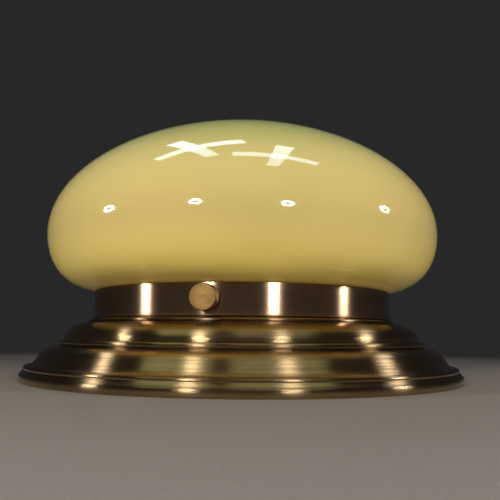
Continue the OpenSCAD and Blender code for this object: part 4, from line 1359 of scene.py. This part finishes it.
class MakeHolder(bpy.types.Operator):
    """Makes the porcelain lampholder, its threaded shell, spring tongue and screws"""

    bl_idname = "ceiling_lamp.holder"
    bl_label = "Lampholder"

    def execute(self, context):
        h = settings().holder
        under, foot = strap_faces()
        floor_z = foot + h.floor_h
        self.body(h, foot, floor_z)
        self.shell(floor_z + 4 * MM)
        self.tongue(h, floor_z)
        self.screws(h, under, foot)
        return {"FINISHED"}

    def body(self, h, foot, floor_z):
        w = settings().wiring
        top, step = foot + h.height, foot + h.foot_h
        chamfer, soft, edge, lip = 0.5 * MM, 1.2 * MM, 2 * MM, 0.4 * MM
        cove = step + 3 * MM
        outline = joined(
            [(0, foot), (h.foot_r - chamfer, foot), (h.foot_r, foot + chamfer)],
            arc((h.foot_r - soft, step - soft), soft, 0, 90, 15),
            bezier(
                8,
                (h.foot_r - soft, step),
                (h.body_r + 0.8 * MM, step),
                (h.body_r, step + MM),
                (h.body_r, cove),
            ),
            line((h.body_r, cove), (h.body_r, top - edge), 4 * MM),
            arc((h.body_r - edge, top - edge), edge, 0, 90, 12),
            [(h.socket_r + lip, top), (h.socket_r, top - lip), (h.socket_r, floor_z), (0, floor_z)],
        )
        body = turned("porcelain_holder", outline, 96, 40)
        reach = h.foot_r + CUT - math.sqrt(h.foot_r**2 - h.wire_y**2) + 5 * MM
        tools = []
        for side in SIDES:
            tools.append(rod("hole", (0, side * h.screw_y, foot - CUT), 9 * MM + CUT, M3_HOLE_R))
            at = (-h.foot_r - CUT, side * h.wire_y, foot + w.pole_h)
            tools.append(rod("hole", at, reach, w.wire_r + 0.35 * MM, turn=ALONG_X))
        cut(body, *tools)
        done(smooth(body, 40), "base", ["lampholder_body"], "porcelain")

    def shell(self, low):
        b = settings().bulb
        turns, bore_r, play = 5.5, 6 * MM, 0.25 * MM
        high = low + turns * b.pitch
        crest = b.cap_r + play
        outer_r = crest + b.thread_depth + b.cap_t
        inner_r, step = outer_r - b.cap_t, b.pitch / 12
        outline = joined(
            [(bore_r, low), (bore_r, low - b.cap_t), (crest + b.cap_t, low - b.cap_t)],
            line((outer_r, low), (outer_r, high), step),
            line((inner_r, high), (inner_r, low + 0.3 * MM), step),
            [(crest, low)],
        )
        shell = turned("threaded_shell", outline, 72, 40)
        run_out = high + 0.3 * b.pitch
        threaded(shell, low + 0.2 * MM, run_out, b.pitch, b.thread_depth, outer_r, sharp=False)
        done(smooth(shell, 60), "base", ["lampholder_shell"], "spun_brass")

    def tongue(self, h, floor_z):
        reach, flat, rise, t = h.socket_r - 3.5 * MM, 2 * MM, 2.2 * MM, 0.5 * MM
        side_view = [
            (-reach, 0), (-reach / 2, 0), (0, rise), (flat, rise),
            (flat, rise + t), (-0.3 * MM, rise + t), (-reach / 2 - 0.2 * MM, t), (-reach, t),
        ]
        tongue = bevelled(pressed("spring_tongue", side_view, 6 * MM), 0.12 * MM, 2, 30)
        done(smooth(put(tongue, at=(0, 0, floor_z)), 40), "base", ["lampholder_contact"], "bronze")

    def screws(self, h, under, foot):
        low, end = under - 2 * MM, foot + 8 * MM
        outline = head_down(M3_R, 2.8 * MM, 0.7 * MM, low, under, end, M3_PITCH / 5)
        first = turned("screw", outline, 28)
        threaded(first, foot + 0.2 * MM, end - 0.1 * MM, M3_PITCH, M3_THREAD, M3_R)
        slotted(first, 0.4 * MM, low - CUT, low + 0.8 * MM)
        screws = repeated("holder_bolts", first, [(0, side * h.screw_y, 0) for side in SIDES])
        done(smooth(screws, 40), "base", ["lampholder_screws"], "zinc_steel")


class MakeBulb(bpy.types.Operator):
    """Makes the bulb: envelope, threaded cap, insulator, end contact, stem and filament"""

    bl_idname = "ceiling_lamp.bulb"
    bl_label = "Bulb"

    def execute(self, context):
        b = settings().bulb
        cap_z = b.foot_z + 3.2 * MM
        thread_top = cap_z + 5 * b.pitch
        cap_top = thread_top + 5 * MM
        neck_r = b.cap_r - b.cap_t - 0.15 * MM
        centre_z = b.top_z - b.radius
        # The insulator sits in the cap's hole, and the end contact under the insulator.
        hole_r, contact_h = 4 * MM, 1.2 * MM
        stem_z = cap_top + 2 * MM
        press_z = stem_z + 22 * MM
        self.envelope(b, neck_r, cap_top, centre_z)
        self.cap(b, hole_r, cap_z, thread_top, cap_top)
        self.insulator(b, hole_r - FIT, b.foot_z + contact_h, cap_z)
        self.contact(b, contact_h)
        self.stem(neck_r - b.glass - 0.3 * MM, stem_z, press_z)
        self.filament(press_z, centre_z - 2 * MM)
        return {"FINISHED"}

    def envelope(self, b, neck_r, cap_top, centre_z):
        join = math.radians(-35)
        joint = Vector((b.radius * math.cos(join), centre_z + b.radius * math.sin(join)))
        run = Vector((-math.sin(join), math.cos(join)))
        skin = joined(
            [(neck_r, cap_top - 3 * MM)],
            bezier(26, (neck_r, cap_top), (neck_r, cap_top + 13 * MM), joint - run * 12 * MM, joint),
            oval((0, centre_z), b.radius, b.radius, range(-31, 90, 4)),
            [(0, b.top_z)],
        )
        lining = inset(skin, b.glass)
        lining[-1] = Vector((0, b.top_z - b.glass))
        envelope = turned("bulb_envelope", joined(lining[::-1], skin), 96, 45)
        done(envelope, "bulb", ["bulb_glass"], "frosted_glass")

    def cap(self, b, hole_r, cap_z, thread_top, cap_top):
        thread_foot, step = cap_z + 0.7 * MM, b.pitch / 12
        inner_r = b.cap_r - b.cap_t
        outline = joined(
            [(hole_r, cap_z), (hole_r, cap_z - b.cap_t), (b.cap_r - 1.5 * MM, cap_z - b.cap_t)],
            arc((b.cap_r - MM, thread_foot), MM, -75, 0, 15),
            line((b.cap_r, thread_foot), (b.cap_r, thread_top), step),
            line((b.cap_r, thread_top), (b.cap_r, cap_top), 2 * MM),
            line((inner_r, cap_top), (inner_r, thread_top), 2 * MM),
            line((inner_r, thread_top), (inner_r, thread_foot), step),
            [(b.cap_r - 1.6 * MM, cap_z)],
        )
        cap = turned("screw_cap", outline, 72, 50)
        threaded(cap, cap_z + 0.3 * MM, thread_top, b.pitch, b.thread_depth, b.cap_r, sharp=False)
        done(smooth(cap, 60), "bulb", ["bulb_cap"], "cap_metal")

    def insulator(self, b, plug_r, low, cap_z):
        high = cap_z - b.cap_t - 0.01 * MM
        foot_r, plug_top = 5.2 * MM, cap_z + 0.6 * MM
        outline = joined(
            [(0, low), (foot_r, low)],
            bezier(
                8,
                (foot_r, low),
                (7 * MM, low + 0.1 * MM),
                (9.4 * MM, high - 0.5 * MM),
                (b.cap_r - 3 * MM, high),
            ),
            [(plug_r, high), (plug_r, plug_top), (0, plug_top)],
        )
        done(turned("black_insulator", outline, 48, 40), "bulb", ["bulb_insulator"], "black_glass")

    def contact(self, b, height):
        high = b.foot_z + height
        outline = joined(oval((0, high), 4.5 * MM, height, range(-90, 1, 9)), [(0, high)])
        done(turned("end_contact", outline, TINY_STEPS), "bulb_foot", ["bulb_contact"], "bronze")

    def stem(self, flare_r, low, press_z):
        """A flared tube, open below, with walls that run together at the press."""
        inside = bezier(
            12,
            (0.5 * MM, press_z - 2 * MM),
            (2.8 * MM, press_z - 9 * MM),
            (2.8 * MM, low + 3 * MM),
            (flare_r - 1.5 * MM, low + MM),
        )
        outside = bezier(
            12,
            (flare_r - 0.2 * MM, low + MM),
            (4 * MM, low + 3 * MM),
            (4 * MM, press_z - 8 * MM),
            (2.2 * MM, press_z),
        )
        ends = [(0, press_z - 2 * MM)], [(0, press_z + MM)]
        outline = joined(ends[0], inside, [(flare_r - MM, low), (flare_r, low)], outside, ends[1])
        done(turned("glass_stem", outline, 48, 40), "bulb", ["bulb_stem"], "clear_glass")

    def filament(self, press_z, wire_z):
        reach = 11 * MM
        half = [
            (1 * MM, 0, press_z + 0.9 * MM),
            (3 * MM, 0, press_z + 5 * MM),
            (reach, 0, wire_z - 4 * MM),
            (reach, 0, wire_z),
            (reach - 3 * MM, 2 * MM, wire_z + 2 * MM),
        ]
        route = [(-x, y, z) for x, y, z in half] + [(0, 4 * MM, wire_z + MM)] + half[::-1]
        done(wire_run("lit_wire", route, 0.35 * MM), "bulb", ["bulb_filament"], "cap_metal")


class MakeTerminals(bpy.types.Operator):
    """Moulds the terminal block and fits its inserts and screws"""

    bl_idname = "ceiling_lamp.terminals"
    bl_label = "Terminal block"

    def execute(self, context):
        w = settings().wiring
        under, top = strap_faces()
        poles = [pole * w.pole_pitch for pole in (-1, 0, 1)]
        clamps = [block_middle() + side * 4.5 * MM for side in SIDES]
        insert_r, insert_bore_r = 2.5 * MM, 1.7 * MM
        self.body(w, top, poles, clamps, insert_r + FIT)
        self.inserts(w, top + w.pole_h, poles, clamps, insert_r, insert_bore_r)
        self.clamps(w, top, [(x, y, 0) for y in poles for x in clamps])
        self.fixing(w, under, top + w.base_h)
        return {"FINISHED"}

    def body(self, w, top, poles, clamps, bore_r):
        x0, x1, mid = -w.block_x, w.block_len - w.block_x, block_middle()
        half_w = 1.5 * w.pole_pitch + MM
        half_tower, shy = (w.pole_pitch - 1.5 * MM) / 2, 0.5 * MM
        base = bevelled(block("base", (x0, -half_w, top), (x1, half_w, top + w.base_h)), 0.4 * MM, 3)
        for y in poles:
            low = (x0 + shy, y - half_tower, top + shy)
            high = (x1 - shy, y + half_tower, top + w.block_h)
            combined(base, bevelled(block("tower", low, high), 0.7 * MM, 3), "UNION")
        for y in poles:
            at = (x0 - CUT, y, top + w.pole_h)
            cut(base, rod("bore", at, w.block_len + 2 * CUT, bore_r, turn=ALONG_X))
            for x in clamps:
                cut(base, rod("well", (x, y, top + w.pole_h), w.block_h, 1.9 * MM))
        screw_y = w.pole_pitch / 2
        cut(base, rod("hole", (mid, screw_y, top - CUT), w.block_h + 2 * CUT, BLOCK_HOLE_R))
        cut(base, rod("well", (mid, screw_y, top + w.base_h), w.block_h, 2 * MM))
        base.name = "connector_block"
        done(smooth(base, 30), "base", ["terminal_block"], "block_plastic")

    def inserts(self, w, pole_z, poles, clamps, r, bore_r):
        reach, soft = w.block_len - 2 * MM, 0.2 * MM
        outline = [
            (bore_r + soft, 0), (r - soft, 0), (r, soft), (r, reach - soft),
            (r - soft, reach), (bore_r + soft, reach), (bore_r, reach - soft), (bore_r, soft),
        ]
        first = put(turned("insert", outline, TINY_STEPS), (block_middle() - reach / 2, 0, pole_z), ALONG_X)
        for x in clamps:
            cut(first, rod("hole", (x, 0, pole_z), 4 * MM, CLAMP_HOLE_R))
        inserts = repeated("brass_inserts", first, [(0, y, 0) for y in poles])
        done(smooth(inserts, 30), "base", ["terminal_inserts"], "bright_brass")

    def clamps(self, w, top, places):
        low = top + w.pole_h + w.wire_r + 0.1 * MM
        high = top + w.block_h - 1.2 * MM
        r, soft = CLAMP_R, 0.2 * MM
        shank = line((r, low + soft), (r, high - soft), 0.1 * MM)
        outline = joined([(0, low), (r - soft, low)], shank, [(r - soft, high), (0, high)])
        first = turned("clamp", outline, 24)
        threaded(first, low + soft, high - 1.2 * MM, CLAMP_PITCH, CLAMP_THREAD, r)
        slotted(first, 0.25 * MM, high - 0.8 * MM, high + CUT)
        screws = repeated("clamp_screws", first, places)
        done(smooth(screws, 40), "base", ["terminal_screws"], "zinc_steel")

    def fixing(self, w, under, head_z):
        low, high, point = under - 1.5 * MM, head_z + 1.6 * MM, 0.3 * MM
        outline = head_up(BLOCK_R, 1.85 * MM, 0.5 * MM, low, head_z, high, 0.08 * MM, point, 18)
        screw = turned("block_fixing_screw", outline, 28)
        threaded(screw, low + point, under, BLOCK_PITCH, BLOCK_THREAD, BLOCK_R)
        slotted(screw, 0.3 * MM, head_z + MM, head_z + 3 * MM)
        put(screw, at=(block_middle(), w.pole_pitch / 2, 0))
        done(smooth(screw, 40), "base", ["terminal_block_screw"], "zinc_steel")


class MakeWires(bpy.types.Operator):
    """Runs the three internal wires from the terminal block"""

    bl_idname = "ceiling_lamp.wires"
    bl_label = "Wires"

    def execute(self, context):
        w, h = settings().wiring, settings().holder
        earth_x = settings().strap.earth_x
        top = strap_faces()[1]
        pole_z = top + w.pole_h
        x1 = -w.block_x + w.block_len
        start_x, out_x = x1 - 5 * MM, x1 + MM
        hole_x = -math.sqrt(h.foot_r**2 - h.wire_y**2)
        end_x = hole_x + 4 * MM
        pitch = w.pole_pitch

        def lead(block_y, first_y, second_y, hole_y):
            """A route from the block into the lampholder, with a slight bow over two points."""
            return [
                (start_x, block_y, pole_z),
                (out_x, block_y, pole_z),
                (out_x + 2.5 * MM, first_y, pole_z + MM),
                (hole_x - 2.5 * MM, second_y, pole_z + MM),
                (hole_x, hole_y, pole_z),
                (end_x, hole_y, pole_z),
            ]

        live = lead(-pitch, -pitch - 0.6 * MM, -h.wire_y - 0.6 * MM, -h.wire_y)
        neutral = lead(0, 2 * MM, h.wire_y - MM, h.wire_y)
        tag_z = top + TAG_T / 2 + w.wire_r + TAG_WALL
        # Round the lampholder and down into the barrel of the earth tag
        earth = [
            (start_x, pitch, pole_z),
            (out_x, pitch, pole_z),
            (out_x + 1.5 * MM, pitch + 2 * MM, pole_z + MM),
            (out_x + 4 * MM, pitch + 9 * MM, pole_z + 3 * MM),
            (-20 * MM, 25 * MM, pole_z + 5 * MM),
            (-8 * MM, 31 * MM, pole_z + 5 * MM),
            (8 * MM, 33 * MM, pole_z + 4 * MM),
            (24 * MM, 31 * MM, pole_z + 2 * MM),
            (38 * MM, 27 * MM, pole_z),
            (48 * MM, 22 * MM, pole_z - MM),
            (earth_x - MM, 17 * MM, tag_z + MM),
            (earth_x, 13 * MM, tag_z),
            (earth_x, BARREL_Y + MM, tag_z),
        ]
        done(wire_run("brown_wire_run", live, w.wire_r), "base", ["live_wire"], "brown_wire")
        done(wire_run("blue_wire_run", neutral, w.wire_r), "base", ["neutral_wire"], "blue_wire")
        striped = done(wire_run("striped_wire_run", earth, w.wire_r), "base", ["earth_wire"], "green_wire")
        striped.data.materials.append(finish("yellow_wire"))
        for face in striped.data.polygons:
            face.material_index = int(face.normal.z > 0.35)
        return {"FINISHED"}


# Round lamps: direction round the lamp from the front, and height angle
LAMPS = [(-70.3, 11), (-22.7, 11.8), (21.6, 10.6), (77, 14)]
# Tall lamps: the slopes of the canopy's domes that mirror each one's foot and top
STREAKS = [(9, 34), (34, 59)]
# Soft panels that only the canopy mirrors: direction of the middle round the canopy, and width
WINDOWS = [(-14, 15), (8, 21)]
WINDOW_SLOPES = (24, 42)
# Radius and height of the ring on the canopy that tall lamps and soft panels are set out for
MIRROR_R, MIRROR_Z = 108 * MM, 25 * MM
# Wide lamps: place, width, the setting that holds the power, and whether gloss shows them
WIDE_LAMPS = {
    "wide_lamp": ((0, 0.5, 1.5), 2.4, "top_power", True),
    "front_lamp": ((0, -2.2, 2.2), 2.4, "front_power", True),
    "back_lamp": ((0, 2.2, 1.6), 2, "back_power", False),
}
# Crossed panels overhead: place of the middle and turn; then their height, its step, length and width
CROSSES = [(-0.40, 0.10, 16), (0.33, -0.27, 0)]
CROSS_Z, CROSS_STEP, CROSS_LEN, CROSS_W = 1.48, 0.02, 0.85, 0.15
# The lamp under the floor: its height and width
GLOW_Z, GLOW_SIZE = -0.3, 1.2


def towards(at, target):
    """The rotation that points a lamp or a disc at a target."""
    return (target - at).to_track_quat("-Z", "Y").to_euler()


class MakeStage(bpy.types.Operator):
    """Sets the floor, the room, the lamps and the camera"""

    bl_idname = "ceiling_lamp.stage"
    bl_label = "Stage"

    def execute(self, context):
        self.floor()
        self.room(context.scene)
        self.lamps()
        self.camera(context.scene)
        context.scene.view_settings.view_transform = "Standard"
        return {"FINISHED"}

    def floor(self):
        """A pale floor that fades into the room."""
        s, c = settings().stage, settings().colours
        clear_selection()
        bpy.ops.mesh.primitive_plane_add(size=s.floor_size)
        floor = named("floor")
        paint = Paint("floor", Specular_IOR_Level=0.15, Roughness=0.9)
        where, x, y, _ = paint.place()
        soft = paint.noise(where, 3, 2, 0.4).between(0.3, 0.8)
        grain = paint.noise(where, 700, 2, 0.6) - 0.3
        paint.set(Base_Color=paint.mix(soft * 0.3 + grain * 1.2, c.floor, toned(c.floor, 0.78)))
        far = distance(x, y).between(s.floor_reach * 0.45, s.floor_reach)
        near = Signal(paint, paint.shader.outputs[0])
        room = paint.add("Emission", values={"Color": c.room, "Strength": 1})
        faded = paint.add("MixShader", values={0: far, 1: near, 2: room})
        paint.feed(paint.tree.nodes["Material Output"].inputs["Surface"], faded)
        floor.data.materials.append(paint.material)

    def room(self, scene):
        world = scene.world or bpy.data.worlds.new("room")
        scene.world = world
        world.use_nodes = True
        background = world.node_tree.nodes["Background"]
        background.inputs["Color"].default_value = (*settings().colours.room, 1)
        background.inputs["Strength"].default_value = 1

    def lamps(self):
        s = settings().stage
        target = Vector((0, 0, s.aim_z))
        brass = self.light_group("canopy_light", "INCLUDE", "spun_canopy")
        others = self.light_group("other_light", "EXCLUDE", "spun_canopy")
        for angle, rise in LAMPS:
            turn = math.radians(angle)
            away = Vector((math.sin(turn), -math.cos(turn), math.tan(math.radians(rise))))
            at = target + away * s.lamp_away
            self.lamp("round_lamp", at, target, s.lamp_size, s.lamp_power, "DISK", others)
            self.hood(at.lerp(target, 0.01), target)
            self.lamp("spot_lamp", at, target, s.lamp_size, s.spot_power, "DISK", brass)
            facing = self.facing(at)
            for slopes in STREAKS:
                self.streak("streak_lamp", facing, slopes, s.streak_w, s.streak_light, brass)
        self.windows(brass)
        for name, (at, size, setting, shown) in WIDE_LAMPS.items():
            lamp = self.lamp(name, Vector(at), target, size, getattr(s, setting), "SQUARE")
            lamp.visible_glossy = shown
        glass = self.light_group("glass_light", "INCLUDE", "opal_shade")
        below = Vector((0, 0, GLOW_Z))
        glow = self.lamp("floor_glow", below, Vector(), GLOW_SIZE, s.glow_power, "DISK", glass)
        glow.light_linking.blocker_collection = glass
        glow.visible_glossy = False
        self.crosses(glass)

    def windows(self, brass):
        """Soft panels whose reflections lie between the streaks."""
        middle = sum(WINDOW_SLOPES) / 2
        for facing, width in WINDOWS:
            facing, half = math.radians(facing), math.radians(width / 2)
            across = self.mirrored(facing - half, middle) - self.mirrored(facing + half, middle)
            light = settings().stage.window_light
            window = self.streak("window", facing, WINDOW_SLOPES, across.length, light, brass)
            window.data.color = settings().colours.window

    def crosses(self, glass):
        for x, y, angle in CROSSES:
            for level, turn in enumerate((angle, angle + 90)):
                at = Vector((x, y, CROSS_Z + CROSS_STEP * level))
                watts = settings().stage.panel_power
                panel = self.lamp("panel", at, at - Vector((0, 0, 1)), CROSS_LEN, watts, "RECTANGLE", glass)
                panel.data.size_y = CROSS_W
                panel.data.color = settings().colours.panel
                panel.rotation_euler = (0, 0, math.radians(turn))

    def camera(self, scene):
        s = settings().stage
        clear_selection()
        bpy.ops.object.camera_add(location=self.eye())
        camera = bpy.context.object
        pitch = Matrix.Rotation(math.pi / 2 + s.camera_pitch, 3, "X")
        roll = Matrix.Rotation(s.camera_roll, 3, "Z")
        camera.rotation_euler = (pitch @ roll).to_euler()
        camera.data.sensor_width = 36
        camera.data.lens = s.focal
        camera.data.shift_x = s.shift
        camera.data.clip_start = 5 * MM
        scene.camera = camera

    def light_group(self, name, state, piece):
        """A collection that keeps a lamp to one piece, or keeps it off that piece."""
        group = bpy.data.collections.new(name)
        group.objects.link(bpy.data.objects[piece])
        group.collection_objects[0].light_linking.link_state = state
        return group

    def facing(self, lamp_at):
        """The direction round the canopy where the camera sees a lamp mirrored."""
        turn = 0
        for _ in range(8):
            point = self.on_canopy(turn)
            halfway = (lamp_at - point).normalized() + (self.eye() - point).normalized()
            turn = math.atan2(halfway.x, -halfway.y)
        return turn

    def eye(self):
        s = settings().stage
        return Vector((0, -s.camera_back, s.camera_z))

    def on_canopy(self, turn):
        return Vector((MIRROR_R * math.sin(turn), -MIRROR_R * math.cos(turn), MIRROR_Z))

    def mirrored(self, turn, slope):
        """The place, a metre away, that the camera sees mirrored where the canopy's brass faces this way."""
        rise = math.radians(slope)
        level = math.cos(rise)
        normal = Vector((level * math.sin(turn), -level * math.cos(turn), math.sin(rise)))
        point = self.on_canopy(turn)
        view = (self.eye() - point).normalized()
        return point + 2 * normal.dot(view) * normal - view

    def streak(self, name, turn, slopes, width, brightness, group):
        """A tall lamp that the domes mirror between two slopes of their curve."""
        low, high = (self.mirrored(turn, slope) for slope in slopes)
        middle, along = (low + high) / 2, high - low
        target = self.on_canopy(turn)
        watts = brightness * math.pi * width * along.length
        streak = self.lamp(name, middle, target, width, watts, "RECTANGLE", group)
        streak.data.size_y = along.length
        away = (middle - target).normalized()
        across = along.cross(away).normalized()
        streak.rotation_euler = Matrix((across, away.cross(across), away)).transposed().to_euler()
        return streak

    def hood(self, at, target):
        """A dark disc in front of a round lamp, which makes its reflection a ring."""
        clear_selection()
        bpy.ops.mesh.primitive_circle_add(radius=settings().stage.hood_r, fill_type="NGON", location=at)
        hood = named("lamp_hood")
        hood.rotation_euler = towards(at, target)
        hood.data.materials.append(Paint("lamp_hood", Base_Color=(0, 0, 0), Roughness=1).material)
        hood.visible_camera = False

    def lamp(self, name, at, target, size, watts, shape, group=None):
        clear_selection()
        bpy.ops.object.light_add(type="AREA", location=at)
        lamp = bpy.context.object
        lamp.name = name
        lamp.data.shape = shape
        lamp.data.size = size
        lamp.data.energy = watts
        lamp.rotation_euler = towards(at, target)
        lamp.visible_camera = False
        lamp.light_linking.receiver_collection = group
        return lamp


PIECES = [
    MakeCanopy,
    MakeCollar,
    MakeThumbscrews,
    MakeShade,
    MakeStrap,
    MakeFixings,
    MakeInlet,
    MakeEarth,
    MakeHolder,
    MakeBulb,
    MakeTerminals,
    MakeWires,
    MakeStage,
]


class LampPanel(bpy.types.Panel):
    """Lists the lamp's pieces and their sizes"""

    bl_idname = "VIEW3D_PT_ceiling_lamp"
    bl_label = "Ceiling lamp"
    bl_space_type = "VIEW_3D"
    bl_region_type = "UI"
    bl_category = "Ceiling lamp"

    def draw(self, context):
        for operator in PIECES:
            self.layout.operator(operator.bl_idname)
        for name, group in GROUPS.items():
            box = self.layout.box()
            box.label(text=name.capitalize())
            values = getattr(context.scene.ceiling_lamp, name)
            for key in group.__annotations__:
                box.prop(values, key)


CLASSES = [*GROUPS.values(), LampSettings, *PIECES, LampPanel]


def register():
    for cls in CLASSES:
        bpy.utils.register_class(cls)
    bpy.types.Scene.ceiling_lamp = bpy.props.PointerProperty(type=LampSettings)


def unregister():
    del bpy.types.Scene.ceiling_lamp
    for cls in reversed(CLASSES):
        bpy.utils.unregister_class(cls)


def main():
    register()
    for operator in PIECES:
        name = operator.bl_idname.split(".")[1]
        getattr(bpy.ops.ceiling_lamp, name)()


if __name__ == "__main__":
    main()
